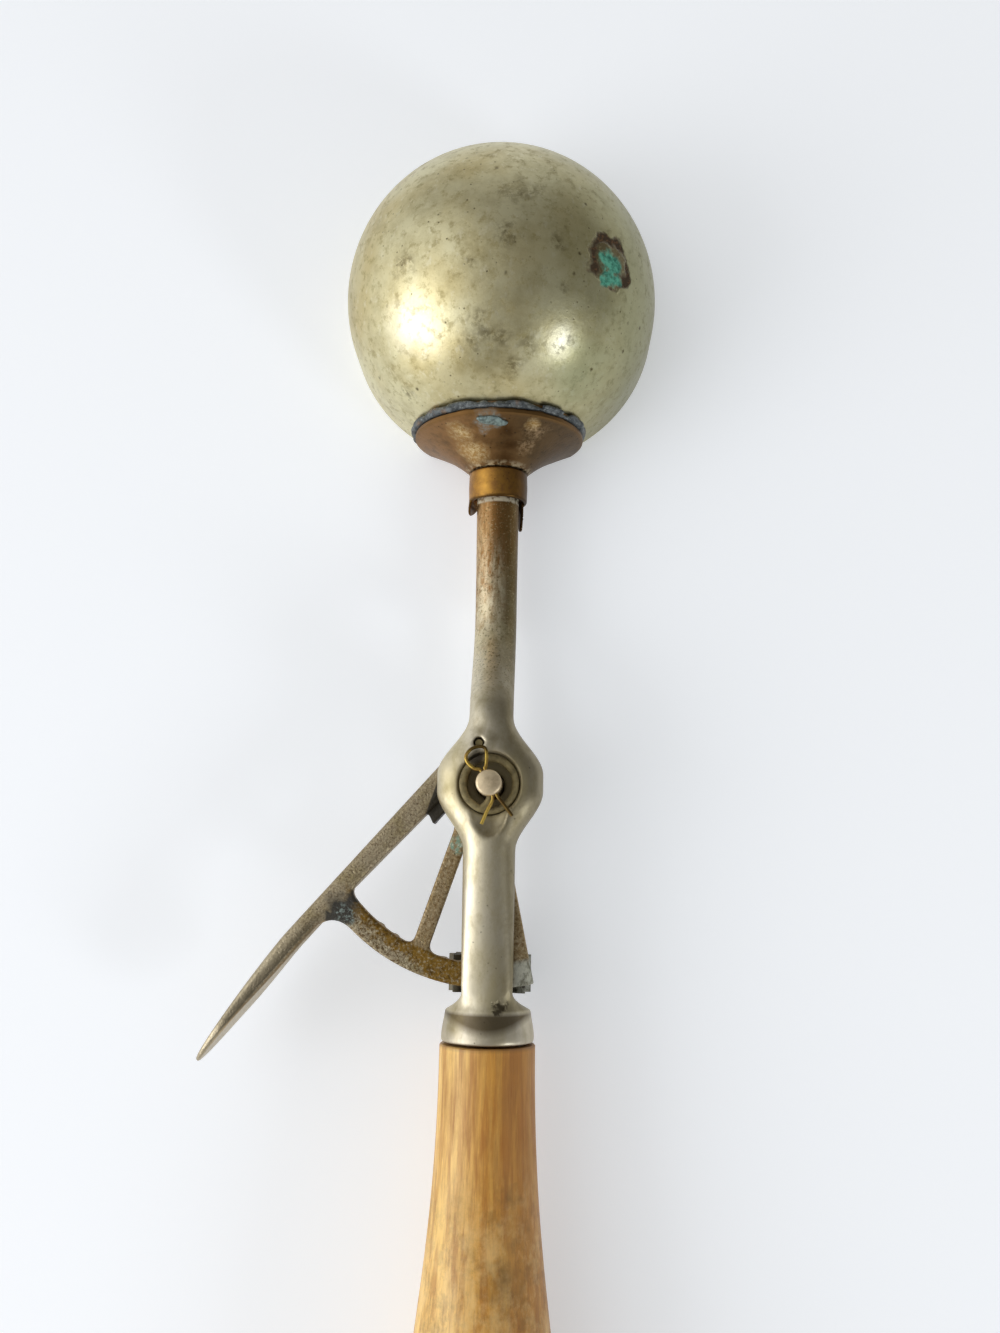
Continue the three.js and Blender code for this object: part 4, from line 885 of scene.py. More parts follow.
class SCOOP_OT_flange(bpy.types.Operator):
    """Makes the trumpet flange behind the bowl, its solder and the band round its neck"""
    bl_idname = "scoop.flange"
    bl_label = "Flange, solder and band"

    def execute(self, context):
        s = sizes(context.scene.scoop_bowl)
        c = colours(context)

        def face(reach, gap):
            """Where the bowl's back, or a skin a gap off it, stands at a distance from the rod's axis."""
            return BOWL_REACH - math.sqrt((s.radius + gap) ** 2 - reach ** 2)

        bore = SHANK_RADIUS + GAP
        neck = BOWL_REACH - s.radius - s.flange_drop
        edge = face(s.flange_radius, GAP) - s.flange_edge
        lip = edge + 0.7
        top = edge + s.radius / 3
        ease, step = 0.15, 0.4
        flare = curve([
            (s.flange_neck, neck),
            (lerp(s.flange_neck, s.flange_radius, 0.38), lerp(neck, edge, 0.6)),
            (s.flange_radius - ease, edge),
        ], 24)
        profile = [(bore, neck), *flare, (s.flange_radius, edge + ease), (s.flange_radius, lip),
                   (s.flange_radius - step, lip + ease), (s.flange_radius - step, top), (bore, top)]
        # The flange is cut to the bowl's back, with a hair of room
        within, under = s.radius + 0.04, -3 * s.lip
        dish = turned([(0, under), (within, under), *dome(within, 0, QUARTER_TURN, 40)], 128, upright=True)
        trumpet = cut(turned(profile, 144, closed=True), moved(dish, y=BOWL_REACH))
        mouth = (0, 0, -s.lip), (0, 0, -1)
        piece(trimmed(trumpet, *mouth), "trumpet_flange", "saddle",
              browned_flange(c), "frame")

        # The solder's seam swells and thins round the flange, and is heaped at both sides
        seat = face(s.flange_radius, 0)
        crust = []
        for angle in spread(0, math.tau, 241):
            ripple = noise.noise(round_pivot(3, angle, 1.7))
            fine = noise.noise(round_pivot(11, angle, 4.1))
            heap = smooth(abs(math.sin(angle)), 0.3, 1)
            thick = s.solder_radius * (0.9 + 0.5 * ripple + 0.5 * fine + 0.8 * heap)
            tall = (seat - lip) / 2 * (0.52 + 0.3 * heap + 0.35 * ripple + 0.45 * fine)
            middle = lerp(lip, seat, 0.46) + 0.2 * fine
            reach = s.flange_radius - 0.25 + 0.3 * ripple
            crust.append([round_rod(reach + thick * math.cos(a), angle, middle + tall * math.sin(a))
                          for a in spread(0, math.tau, 13)[:-1]])
        lumps = [lofted(crust)]
        out = s.flange_radius + 0.1
        for degrees, wide, tall in ((-98, 2.4, 0.9), (-72, 2.8, 0.75), (-46, 1.9, 0.6), (-24, 2.5, 0.65),
                                    (14, 2.0, 0.5), (40, 2.6, 0.6), (64, 2.3, 0.75), (90, 2.8, 0.9)):
            angle = math.radians(degrees)
            lump = rotated(pebble(wide, 0.7 * tall, 0.5), angle, "Y")
            lumps.append(moved(lump, *round_rod(out, angle, face(out, 0.5))))
        slope = math.radians(-21)
        for x, y, z, width in ((-1.0, 62.75, 13.7, 2.2), (0.6, 62.5, 13.1, 1.5), (-2.3, 62.9, 14.0, 1.2)):
            lumps.append(moved(rotated(pebble(width, 0.45, 0.5 * width), slope, "X"), x, y, z))
        seam = trimmed(cast(gathered(*lumps), 0.17, 2), *mouth)
        piece(seam, "solder_seam", "solder_bead", solder_grey(c), "frame")

        # The band has a torn skirt on one side and a tail on the other
        head = neck - GAP / 3
        foot = head - s.band_length
        chamfer = 0.25
        band = turned([
            (bore, head), (bore, foot + 1.2), (lerp(bore, s.band_radius, 0.5), foot),
            (s.band_radius - chamfer, foot), (s.band_radius, foot + chamfer),
            (s.band_radius + 0.08, lerp(foot, head, 0.5)),
            (s.band_radius, head - 0.3), (s.band_radius - chamfer, head)], 96, closed=True)
        skirt = []
        for angle in spread(math.radians(-128), math.radians(-72), 24):
            hang = math.sin(math.pi * smooth(angle, math.radians(-134), math.radians(-66))) ** 0.5
            low = foot - 1.9 * hang
            skirt.append([round_rod(r, angle, y) for r, y in (
                (s.band_radius - 0.55, foot + 0.8), (s.band_radius, foot + 0.8),
                (s.band_radius + 0.15, low), (s.band_radius - 0.3, low))])
        tail = []
        tail_at, tail_in, tail_out = 2.0, 4.3, 4.75
        for drop, half in ((-0.6, 1.5), (1.5, 1.1), (3.2, 0.8), (4.6, 0.3)):
            tail.append([round_rod(r, tail_at + way * half / 4, foot - drop) for r, way in (
                (tail_in, -1), (tail_out, -1), (tail_out, 1), (tail_in, 1))])
        clasp = cast(gathered(band, lofted(skirt), lofted(tail)), 0.14, 2)
        piece(clasp, "neck_band", "collar", band_brass(c), "frame")
        return {"FINISHED"}


class SCOOP_OT_shank(bpy.types.Operator):
    """Makes the cast shank with its hub, spring well, bar and bolster"""
    bl_idname = "scoop.shank"
    bl_label = "Shank, hub and bolster"

    def execute(self, context):
        s = sizes(context.scene.scoop_shank)
        heel = BOWL_LOW.y
        bar_low = LEVER_TOP + 0.4
        hub_top = bar_low + 6.2
        bar_top = bar_low + 5.2
        back = CASTING_BACK
        front = back + 6.4
        crease = front - 1.3
        flare_run = 3.6
        neck_start, neck_end = 31, 10
        hub_middle, hub_flat, hub_end = 0.35, 1.4, 11
        bar_start, bar_full = 8, -6
        bar_end, end_half, end_crown = crease + 6, 4, bar_low + 1.5

        def ring(y, sides=64):
            """The casting's section at a distance from the pivot toward the bowl."""
            rise = 1 - smooth(y, neck_end, neck_start)
            pipe = lerp(s.waist, s.tube, smooth(y, neck_start, heel))
            swell = 1 - smooth(abs(y - hub_middle), hub_flat, hub_end)
            fade = 1 - smooth(y, crease, bar_end)
            side = lerp(lerp(pipe, s.bar, 1 - smooth(y, bar_full, bar_start)), end_half, fade)
            half = lerp(side, s.hub, swell)
            slope = share(y, -neck_end, crease)
            crown = lerp(lerp(pipe, bar_top, rise), end_crown, slope)
            top = lerp(crown, hub_top, swell)
            low = lerp(-pipe, bar_low, rise)
            # The bar's end opens like a trumpet into the round bolster
            flare = (1 - share(y - crease, 0, flare_run)) ** 2
            half = lerp(half, s.shoulder, flare)
            top = lerp(top, HANDLE_AXIS + s.shoulder, flare)
            low = lerp(low, HANDLE_AXIS - s.shoulder, flare)
            boxy = rise * (1 - flare)
            widest = lerp(low, top, lerp(0.5, 0.3, boxy))

            def bulge(value, squareness):
                return math.copysign(abs(value) ** (2 / lerp(2, squareness, boxy)), value)

            points = []
            for a in (math.tau * k / sides for k in range(sides)):
                upper = math.sin(a) >= 0
                squareness = 2.2 if upper else 3
                tall = top - widest if upper else widest - low
                z = widest + tall * bulge(math.sin(a), squareness)
                points.append((half * bulge(math.cos(a), squareness), y, z))
            return points

        stations = [*spread(heel - GAP, neck_start, 12), *spread(neck_start, neck_end, 40)[1:],
                    *spread(neck_end, -neck_end, 70)[1:], *spread(-neck_end, bar_end, 20)[1:],
                    *spread(bar_end, crease, 40)[1:]]
        body = lofted([ring(y) for y in stations])
        barrel = curve([(s.shoulder, crease), (s.shoulder + 0.1, lerp(crease, back, 0.3)),
                        (s.bolster, lerp(crease, back, 0.55)), (s.bolster, back + 0.5)], 20)
        bell = turned([(0, crease), *barrel, (s.bolster - 0.1, back + 0.15), (s.bolster - 0.35, back),
                       (0, back)], 96)
        bolster = moved(bell, z=HANDLE_AXIS)
        # The gear and the lever's rim sweep through the casting, and a lug carries the rod's thin end
        gear_mouth = PINION_LOW.y - GAP
        gear_room, rim_room, lug_radius = 7.4, 33.35, 3.7
        rim_space = trimmed(rod(rim_room, -bar_low, bar_low, 192, upright=True), (0, -20, 0), (0, 1, 0))
        casting = cut(joined(body, bolster), rod(gear_room, gear_mouth, 0, 96), rim_space)
        casting = joined(casting, rod(lug_radius, back, front))

        floor = bar_low + 1.4
        brim = hub_top + 0.4
        mouth_side = curve([
            (s.well, hub_top - 1.4), (s.well + 0.12, hub_top - 0.5), (s.well + 1.4, brim)], 10)
        well = turned([(0, floor), (s.well - 0.8, floor), (s.well, floor + 0.8), *mouth_side, (0, brim)],
                      96, upright=True)
        tail = bmesh.new()
        bmesh.ops.create_uvsphere(tail, u_segments=48, v_segments=24, radius=1)
        bmesh.ops.scale(tail, vec=(3.1, 4.6, 2.2), verts=tail.verts)
        hook_hole = moved(rod(0.9, floor, 2 * hub_top, 32, upright=True), -1.87, 6.745)
        casting = cut(
            casting,
            rod(ROD_RADIUS + GAP, 0, 2 * heel),
            rod(ROD_TAIL + GAP, front - ROD_TAIL_LENGTH, 0),
            rod(THRUST_RING + GAP, front, gear_mouth + GAP),
            moved(rod(TANG_RADIUS + GAP, 2 * back, back + 4.8), z=HANDLE_AXIS),
            rod(PIVOT_RADIUS + GAP, 0, 2 * hub_top, upright=True),
            well,
            moved(tail, 0, -4.6, hub_top),
            hook_hole,
        )
        piece(cast(casting, 0.26, 4), "shank_casting", "shank_frame",
              shank_plate(colours(context)), "frame")
        return {"FINISHED"}


class SCOOP_OT_handle(bpy.types.Operator):
    """Makes the turned handle and the riveted end of its tang"""
    bl_idname = "scoop.handle"
    bl_label = "Handle, tang and washer"

    def execute(self, context):
        s = sizes(context.scene.scoop_handle)
        c = colours(context)
        front, back = HANDLE_HIGH.y, HANDLE_LOW.y
        belly = front - s.belly_at
        bore = TANG_RADIUS + GAP
        ease = 0.2
        swell = curve([(s.neck, front - ease), (s.neck, lerp(front, belly, 0.5)),
                       (s.belly, lerp(front, belly, 0.59)), (s.belly, belly)], 60)
        butt = curve([(s.belly, belly), (s.belly, lerp(belly, back, 0.55)),
                      (lerp(s.butt, s.belly, 0.8), back), (s.butt, back)], 40)
        profile = [(bore, front), (s.neck - ease, front), *swell, *butt[1:], (bore, back)]
        grip = moved(turned(profile, 128, closed=True), z=HANDLE_AXIS)
        piece(grip, "turned_handle", "handle", honey_wood(c), "frame")

        low, high = span("tang")
        washer_low, washer_high = span("butt_washer")
        near, far = washer_high.y, washer_low.y
        base = far - GAP
        head = dome(3.8, QUARTER_TURN, 0, 12, base, low.y - base)
        stem = turned([*head, (TANG_RADIUS, base), (TANG_RADIUS, high.y), (0, high.y)], 64)
        steel = plain_metal("tang_steel", srgb("4A4238"), c.pit, 0.45)
        piece(moved(stem, z=HANDLE_AXIS), "tang_rivet", "tang", steel, "frame")
        rim, bevel = 5.2, 0.3
        plate = turned([(bore, near), (rim - bevel, near), (rim, near - bevel), (rim, far + bevel),
                        (rim - bevel, far), (bore, far)], 96, closed=True)
        piece(moved(plate, z=HANDLE_AXIS), "butt_plate", "butt_washer",
              plain_metal("washer_brass", c.brass, c.bronze, 0.38), "frame")
        return {"FINISHED"}


def spoke(angle, reach, offset=0):
    """A point on a line from the pivot at an angle from the handle: so far along, so far to its left."""
    s, c = math.sin(angle), math.cos(angle)
    return Vector((-s * reach - c * offset, -c * reach + s * offset))


def arc(radius, start, end, count=24):
    """Points round the pivot from one direction to another."""
    return [round_pivot(radius, a, 0).to_2d() for a in spread(start, end, count)]


def leaving(line, radius):
    """Where a line, given by two points, leaves a circle round the pivot."""
    start, end = line
    heading = (end - start).normalized()
    foot = start.dot(heading)
    return start + heading * (math.sqrt(radius ** 2 - start.length_squared + foot ** 2) - foot)


def bearing(point):
    return math.atan2(point.y, point.x)


def window(left, right, inner, outer, fillet):
    """An opening between two straight edges and two arcs round the pivot, its corners rounded."""
    (a0, a1), (b0, b1) = ([leaving(line, radius) for radius in (inner, outer)] for line in (left, right))
    near, far = fillet / 2 / inner, fillet / outer

    def toward(p, q):
        return p + (q - p).normalized() * fillet

    def corner(*points):
        return curve(points, 8)

    outside = arc(outer, bearing(a1) + far, bearing(b1) - far)
    inside = arc(inner, bearing(b0) - near, bearing(a0) + near)
    return [
        *corner(toward(a1, a0), a1, outside[0]), *outside[1:-1], *corner(outside[-1], b1, toward(b1, b0)),
        *corner(toward(b0, b1), b0, inside[0]), *inside[1:-1], *corner(inside[-1], a0, toward(a0, a1))]


class SCOOP_OT_lever(bpy.types.Operator):
    """Makes the thumb lever with its spokes, toothed rim and thumb leaf"""
    bl_idname = "scoop.lever"
    bl_label = "Thumb lever"

    def execute(self, context):
        s = sizes(context.scene.scoop_lever)
        top = LEVER_TOP
        plate_top, plate_low = top - 0.3, top - 2.5
        hub_low = plate_top - 4.6
        rim_in, rim_out = s.rim - s.rim_width / 2, s.rim + s.rim_width / 2
        bar_root, bar_rim = 4.3, 3.1
        spoke_half, fillet, fairing = 1.35, 1.6, 5.5

        def sides(degrees, offset):
            """The two edges of a spoke that leaves the pivot at an angle, so far to the left."""
            angle = math.radians(degrees)
            return [(spoke(angle, 0, edge), spoke(angle, rim_out, edge))
                    for edge in (offset + spoke_half, offset - spoke_half)]

        inside = spoke(s.angle, 0, s.edge - bar_root), spoke(s.angle, s.rim, s.edge - bar_rim)
        mid_left, mid_right = sides(19, 2)
        end_left, end_right = sides(-11.8, 0.5)
        rim_end, bar_corner = leaving(end_right, rim_out), leaving(inside, rim_out)
        bend_to = bar_corner + (inside[1] - inside[0]).normalized() * fairing
        bend_from = arc(rim_out, bearing(bar_corner) + fairing / rim_out, bearing(bar_corner), 2)[0]
        outline = [Vector((0, 0)), leaving(end_right, 0.8 * s.hub), rim_end,
                   *arc(rim_out, bearing(rim_end), bearing(bend_from), 60)[1:-1],
                   *curve([bend_from, bar_corner, bend_to], 12),
                   spoke(s.angle, bend_to.length, s.edge - bar_rim / 3), spoke(s.angle, 0, s.edge / 2)]
        windows = [prism(window(*edges, s.hub, rim_in, fillet), plate_low - 1, plate_top + 1)
                   for edges in ((inside, mid_left), (mid_right, end_left))]
        plate = cut(prism(outline, plate_low, plate_top), *windows)

        # The bar runs out into the thumb leaf, which thins, drops and bends toward its tip
        leaf_root, leaf_tip, leaf_drop, leaf_bend = 2.3, 0.7, 10, 2.7
        rings = []
        leaf_run = [lerp(s.thumb_start, s.reach, smooth(t, 0, 1)) for t in spread(0, 1, 48)]
        for reach in [0, 10, 20, s.rim, *leaf_run]:
            thinned = smooth(reach, s.thumb_start, s.thumb_start + 20)
            dropped = smooth(reach, s.thumb_start, s.thumb_start + 14)
            leaf = share(reach, s.thumb_start, s.reach)
            bar = lerp(bar_root, bar_rim, share(reach, 0, s.rim))
            thick = lerp(lerp(bar, leaf_root, thinned), leaf_tip, leaf ** 2)
            edge = s.edge - leaf_bend * leaf ** 1.3
            low = lerp(hub_low, top - leaf_drop, dropped)
            tall = (top - low) / 2 * max(0.18, math.sqrt(1 - leaf ** 4))
            ease = thick * 0.2
            section = ((edge - ease, tall), (edge, tall - ease), (edge, ease - tall), (edge - ease, -tall),
                       (edge - thick + ease, -tall), (edge - thick, ease - tall),
                       (edge - thick, tall - ease), (edge - thick + ease, tall))
            rings.append([(*spoke(s.angle, reach, offset), (top + low) / 2 + z) for offset, z in section])

        def tooth(degrees):
            """One tooth under the rim, wider with its distance from the pivot."""
            lean = math.tan(PRESSURE)
            at_pitch = math.pi * MODULE / 4 - BACKLASH / 2
            depth = 0.75
            tip, root = PITCH_RADIUS - depth, plate_low + 1.1
            tip_half, root_half = at_pitch - depth * lean, at_pitch + (plate_low - PITCH_RADIUS) * lean
            section = ((-root_half, root), (-root_half, plate_low), (-tip_half, tip), (tip_half, tip),
                       (root_half, plate_low), (root_half, root))
            return lofted([[(*spoke(math.radians(degrees), reach, offset * reach / s.rim), z)
                            for offset, z in section] for reach in (rim_in, rim_out)])

        lug_edge, lug_half = s.edge - bar_root, 1.6
        lug = prism([spoke(s.angle, reach, lug_edge + way * lug_half)
                     for reach, way in ((0, 1), (9.8, 1), (11.2, -1), (0, -1))], hub_low, hub_low + 3.4)
        teeth = [tooth((i - 0.5) * 360 / RIM_TEETH) for i in range(-1, 8)]
        hub = rod(s.hub, hub_low, plate_top, 96, upright=True)
        casting = cast(gathered(plate, hub, lofted(rings), lug, *teeth), 0.25, 2)
        casting = cut(casting, rod(PIVOT_RADIUS + GAP, 0, 2 * top, upright=True),
                      rod(PIVOT_RING + GAP, plate_top - 0.8, 2 * top, upright=True))
        piece(casting, "thumb_lever_casting", "thumb_lever",
              lever_plate_finish(colours(context)), "lever")
        return {"FINISHED"}


class SCOOP_OT_pivot(bpy.types.Operator):
    """Makes the pivot pin, its washer, the return spring and the split pin"""
    bl_idname = "scoop.pivot"
    bl_label = "Pivot, spring and split pin"

    def execute(self, context):
        c = colours(context)
        head = PIN_LOW.z + 1.0
        top = PIN_HIGH.z
        pin = turned([
            (0, head - 1), (2.9, head - 1), (3.5, head - 0.6), (3.6, head - 0.4), (3.6, head),
            (PIVOT_RADIUS, head), (PIVOT_RADIUS, top - 0.45), (1.98, top - 0.2), (1.7, top - 0.04),
            (0, top)], 72, upright=True)
        cotter_z = top - 1.5
        cotter_angle = math.radians(-25.3)
        cotter_hole = moved(rotated(rod(0.5, -4, 4, 24), -cotter_angle, "Z"), z=cotter_z)

        # The spring's wire leaves a hole in the casting, coils round the pin and ends in a hole in the pin
        wire_radius, coil_radius, coil_rise, turns, steps = 0.6, 4.3, 1.75, 2.25, 120
        hook_reach, hook_angle = 7.0, 105.5
        coil_low = SPRING_FOOT + wire_radius
        coil_high = coil_low + coil_rise * turns
        start = hook_angle + math.degrees(math.acos(coil_radius / hook_reach))
        end = start + 360 * turns
        hook = [round_pivot(hook_reach, math.radians(hook_angle), coil_low) + Vector((0, 0, up))
                for up in (2.4, 0.9, 0.1)]
        coil = [round_pivot(coil_radius, math.radians(lerp(start, end, i / steps)),
                            lerp(coil_low, coil_high, i / steps)) for i in range(0, steps + 1, 5)]
        inward = [round_pivot(coil_radius * part, math.radians(end + 12 * (i + 1)), coil_high)
                  for i, part in enumerate((0.86, 0.62, 0.34, 0.14))]
        spring_hole = wire(thread(inward, 4), wire_radius + GAP / 2, 16)
        piece(cut(pin, cotter_hole, spring_hole), "pivot_pin_turned", "pivot_pin",
              plain_metal("worn_pin_steel", c.steel, srgb("A6957A"), 0.5, 2.2), "lever")
        spring = piece(wire(thread([*hook, *coil, *inward], 5), wire_radius, 16), "return_spring_coil",
                       "return_spring", spring_steel(c), None)
        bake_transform(spring)

        low, high = span("pivot_washer")
        ring = washer(PIVOT_RADIUS + GAP, PIVOT_RING, low.z, high.z, 72, upright=True)
        piece(ring, "pivot_ring", "pivot_washer",
              plain_metal("ring_brass", c.brass, c.bronze, 0.38), "lever")

        # The split pin's wire runs from one leg through the pin, round the bent eye and back to the other
        apart, inside = 0.36, PIVOT_RADIUS + 0.28
        eye = ((0.7, 1.2), (2.1, 1.8), (3.2, 1.5), (3.8, 0.3),
               (3.6, -1.1), (2.8, -1.8), (1.2, -1.2), (0.2, -0.6))
        left, right = Vector((5.5, 3.8)), Vector((6.4, -1.25))
        gates = Vector((inside, apart)), Vector((inside, -apart))
        route = [left, gates[0].lerp(left, 0.5), gates[0], (0, apart), (-inside, apart),
                 *((-inside - past, left_of) for past, left_of in eye),
                 (-inside, -apart), (0, -apart), gates[1], gates[1].lerp(right, 0.5), right]
        points = [spoke(cotter_angle, p[0], p[1]).to_3d() + Vector((0, 0, cotter_z)) for p in route]
        piece(wire(thread(points, 5), 0.29, 12), "split_pin", "cotter_pin",
              split_pin_brass(c), "lever")
        return {"FINISHED"}


class SCOOP_OT_drive(bpy.types.Operator):
    """Makes the drive rod, the pinion, its cross pin and the thrust washer"""
    bl_idname = "scoop.drive"
    bl_label = "Rod and pinion"

    def execute(self, context):
        c = colours(context)
        boss_radius, boss_length, boss_root = 4, 4, 3
        front, back = PINION_HIGH.y - boss_length, PINION_LOW.y
        cross_y = front + boss_length / 2
        base = PITCH_RADIUS * math.cos(PRESSURE)

        def half_angle(radius):
            """Half the angle of an involute tooth at a radius."""
            lean = math.acos(min(1, base / max(radius, base)))
            at_pitch = (math.pi * MODULE / 2 - BACKLASH) / (2 * PITCH_RADIUS)
            return at_pitch + math.tan(PRESSURE) - PRESSURE - math.tan(lean) + lean

        def cross_hole():
            return moved(rotated(rod(CROSS_PIN + GAP, -12, 12, 24), QUARTER_TURN, "Z"), y=cross_y)

        outline = []
        root, tip = PITCH_RADIUS - 1.25 * MODULE, PITCH_RADIUS + MODULE
        radii = [root, 5.3, 5.7, PITCH_RADIUS, 6.3, 6.65, 6.9, tip]
        for tooth in range(PINION_TEETH):
            middle = QUARTER_TURN + math.tau * tooth / PINION_TEETH
            flank = [(r, middle - half_angle(r)) for r in radii]
            flank += [(r, middle + half_angle(r)) for r in radii[::-1]]
            outline += [(r * math.cos(a), r * math.sin(a)) for r, a in flank]
        gear = moved(rotated(prism(outline, 0, front - back), QUARTER_TURN, "X"), y=front)
        boss = rod(boss_radius, front - boss_root, front + boss_length, 64)
        pinion = cut(joined(gear, boss), rod(ROD_RADIUS + GAP, 2 * back, 0), cross_hole())
        black = pinion_steel(c)
        piece(pinion, "drive_pinion", "pinion", black, "scraper", 30)

        low, high = span("pinion_pin")
        bevel = 0.15
        peg = turned([(0, low.x), (CROSS_PIN - bevel, low.x), (CROSS_PIN, low.x + bevel),
                      (CROSS_PIN, high.x - bevel), (CROSS_PIN - bevel, high.x), (0, high.x)], 32)
        peg = moved(rotated(peg, -QUARTER_TURN, "Z"), y=cross_y)
        piece(peg, "pinion_peg", "pinion_pin", black, "scraper")

        low, high = span("thrust_washer")
        ring = washer(ROD_RADIUS + GAP, THRUST_RING, low.y, high.y, 64)
        piece(ring, "thrust_ring", "thrust_washer",
              plain_metal("thrust_brass", c.brass, c.bronze, 0.38), "scraper")

        end, bevel = ROD_LOW.y, 0.2
        step = end + ROD_TAIL_LENGTH
        shoulder = BLADE_LOW.y - GAP
        head = ROD_HIGH.y - RIVET_HEIGHT
        shaft = turned([
            (0, end), (ROD_TAIL - bevel, end), (ROD_TAIL, end + bevel), (ROD_TAIL, step),
            (ROD_RADIUS, step), (ROD_RADIUS, shoulder), (ROD_TIP, shoulder), (ROD_TIP, head),
            *dome(RIVET_RADIUS, 0, QUARTER_TURN, 10, head, RIVET_HEIGHT)], 64)
        piece(cut(shaft, cross_hole()), "drive_shaft", "drive_rod",
              plain_metal("rod_steel", srgb("A89C84"), c.tarnish, 0.38, 2.5), "scraper")
        return {"FINISHED"}


class SCOOP_OT_scraper(bpy.types.Operator):
    """Makes the scraper blade, the burr under the rod's rivet and the rivet at the bowl's toe"""
    bl_idname = "scoop.scraper"
    bl_label = "Scraper and rivets"

    def execute(self, context):
        c = colours(context)
        radius = (BLADE_HIGH.y - BLADE_LOW.y) / 2
        inner = radius - BLADE_WALL
        end_half, middle_half, ear_radius, bevel = 3.1, 4.6, 3.4, 0.2
        strip = []
        for degrees in spread(-90, 90, 90):
            a = math.radians(degrees)
            half = lerp(end_half, middle_half, max(0, math.cos(a)) ** 0.7)
            strip.append([(-math.cos(a) * r, BOWL_REACH + math.sin(a) * r, z) for r, z in (
                (inner, bevel - half), (inner + bevel, -half), (radius, -half), (radius, half),
                (inner + bevel, half), (inner, half - bevel))])
        ears = [rod(ear_radius, y, y + BLADE_WALL, 64) for y in (BLADE_LOW.y, BLADE_HIGH.y - BLADE_WALL)]
        bore = ROD_TIP + GAP
        blade = cut(joined(lofted(strip), *ears), rod(bore, 0, 2 * BOWL_REACH))
        plate = plain_metal("scraper_plate", c.nickel, c.tarnish, 0.34, 4)
        piece(blade, "scraper_strip", "scraper_blade", plate, "scraper", 30)

        low, high = span("heel_burr")
        rim = 2.7
        burr = turned([(bore, low.y), (rim - bevel, low.y), (rim, low.y + bevel), (rim, high.y - bevel / 2),
                       (rim - bevel, high.y), (bore, high.y)], 64, closed=True)
        piece(burr, "rivet_burr", "heel_burr", plate, "scraper")

        top = span("toe_rivet")[1].y
        inside = BLADE_HIGH.y - BLADE_WALL - GAP
        outside = BOWL_HIGH.y + GAP / 2
        shut = dome(RIVET_RADIUS, QUARTER_TURN, 0, 10, inside, -RIVET_HEIGHT)
        button = dome(rim, 0, QUARTER_TURN, 12, outside, top - outside)
        rivet = turned([*shut, (ROD_TIP, inside), (ROD_TIP, outside), *button], 64)
        piece(rivet, "toe_button", "toe_rivet", plate, "frame")
        return {"FINISHED"}


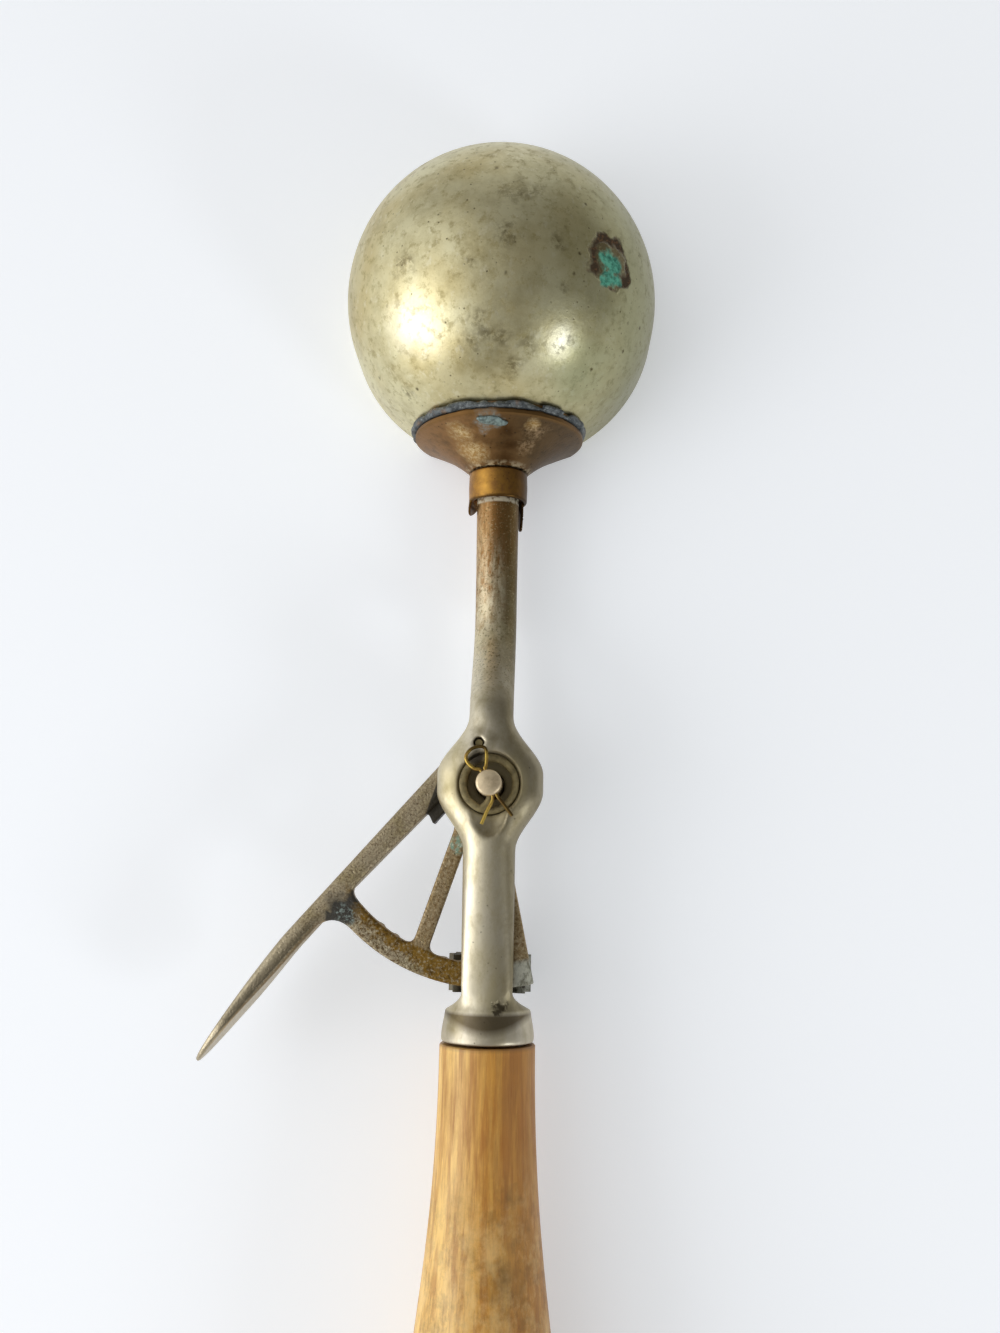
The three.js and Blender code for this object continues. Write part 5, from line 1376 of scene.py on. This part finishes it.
class SCOOP_OT_stage(bpy.types.Operator):
    """Makes the floor, the lights and the camera"""
    bl_idname = "scoop.stage"
    bl_label = "Stage"

    def execute(self, context):
        scene = context.scene
        bm = bmesh.new()
        bmesh.ops.create_grid(bm, x_segments=2, y_segments=2, size=3)
        mesh = bpy.data.meshes.new("floor")
        bm.to_mesh(mesh)
        bm.free()
        mesh.materials.append(floor_paint(colours(context)))
        floor = bpy.data.objects.new("floor", mesh)
        scene.collection.objects.link(floor)

        # Each lamp is a soft box: where it stands from the bowl, its sides, its watts and its colour
        aim = ORIGIN + Vector((0, 60, 5)) * MM
        for name, heading, far, size, watts, tone in (
            ("left_window", (-0.9, -0.38, 0.42), 0.8, (0.6, 0.5), 2.5, "F6F8FF"),
            ("right_window", (0.72, -0.62, 0.40), 0.9, (0.2, 0.2), 1.5, "F0F6FF"),
        ):
            lamp = bpy.data.lights.new(name, "AREA")
            lamp.shape = "RECTANGLE"
            lamp.size, lamp.size_y = size
            lamp.energy = watts
            lamp.color = srgb(tone)[:3]
            stand = bpy.data.objects.new(name, lamp)
            way = Vector(heading).normalized()
            stand.location = aim + way * far
            stand.rotation_mode = "QUATERNION"
            stand.rotation_quaternion = way.to_track_quat("Z", "Y")
            scene.collection.objects.link(stand)

        # The room is bright on the lever's side, paler at both ends of the scoop and dim overhead
        world = bpy.data.worlds.new("soft_room")
        world.use_nodes = True
        tree = world.node_tree
        look = add_node(tree, "TexCoord", out="Generated")
        level = 0
        for axis, low, high, most in (((-0.85, 0, 0.53), 0.5, 0.95, 0.9), ((0, 1, 0), 0.8, 1, 0.4),
                                      ((0, -1, 0), 0.75, 1, 0.6), ((0, 0, 0), -1, 0, 0.3)):
            facing = add_node(tree, "VectorMath", (look, axis), "Value", operation="DOT_PRODUCT")
            wall = add_node(tree, "MapRange", (facing, low, high, 0, most), interpolation_type="SMOOTHSTEP")
            level = add_node(tree, "Math", (level, wall), operation="ADD")
        sky = tree.nodes["Background"]
        sky.inputs["Color"].default_value = srgb("F4F5F6")
        tree.links.new(level, sky.inputs["Strength"])
        scene.world = world
        scene.view_settings.view_transform = "Standard"

        # The camera was fitted to the photograph: focal length and height are in the picture's own points
        focal_points, height_points, sensor = 1240, 1333, 36
        pitch, yaw, roll = -0.1666865, -0.0361986, -0.0165788
        shift = Vector((-1.218, -21.650, -216.956))
        turned_to = (Matrix.Rotation(roll, 3, "Z") @ Matrix.Rotation(pitch, 3, "X")
                     @ Matrix.Rotation(yaw, 3, "Y"))
        lens = bpy.data.cameras.new("camera")
        lens.sensor_width = sensor
        lens.lens = focal_points * sensor / height_points
        lens.clip_start, lens.clip_end = 0.01, 20
        camera = bpy.data.objects.new("camera", lens)
        camera.rotation_mode = "QUATERNION"
        camera.rotation_quaternion = turned_to.transposed().to_quaternion()
        camera.location = ORIGIN - (turned_to.transposed() @ shift) * MM
        scene.collection.objects.link(camera)
        scene.camera = camera
        return {"FINISHED"}


class SCOOP_PT_panel(bpy.types.Panel):
    """Lists the scoop's pieces and sizes"""
    bl_idname = "SCOOP_PT_panel"
    bl_label = "Ice cream scoop"
    bl_space_type = "VIEW_3D"
    bl_region_type = "UI"
    bl_category = "Scoop"

    def draw(self, context):
        for operator in OPERATORS:
            self.layout.operator(operator.bl_idname)
        for name, group in SETTINGS.items():
            box = self.layout.box()
            for size in group.__annotations__:
                box.prop(getattr(context.scene, name), size)


OPERATORS = (SCOOP_OT_stage, SCOOP_OT_bowl, SCOOP_OT_flange, SCOOP_OT_shank, SCOOP_OT_handle,
             SCOOP_OT_lever, SCOOP_OT_pivot, SCOOP_OT_drive, SCOOP_OT_scraper)
CLASSES = (*SETTINGS.values(), *OPERATORS, SCOOP_PT_panel)


def register():
    for cls in CLASSES:
        bpy.utils.register_class(cls)
    for name, group in SETTINGS.items():
        setattr(bpy.types.Scene, name, bpy.props.PointerProperty(type=group))


def unregister():
    for name in SETTINGS:
        delattr(bpy.types.Scene, name)
    for cls in reversed(CLASSES):
        bpy.utils.unregister_class(cls)


def main():
    register()
    bpy.ops.scoop.stage()
    bpy.ops.scoop.bowl()
    bpy.ops.scoop.flange()
    bpy.ops.scoop.shank()
    bpy.ops.scoop.handle()
    bpy.ops.scoop.lever()
    bpy.ops.scoop.pivot()
    bpy.ops.scoop.drive()
    bpy.ops.scoop.scraper()


if __name__ == "__main__":
    main()
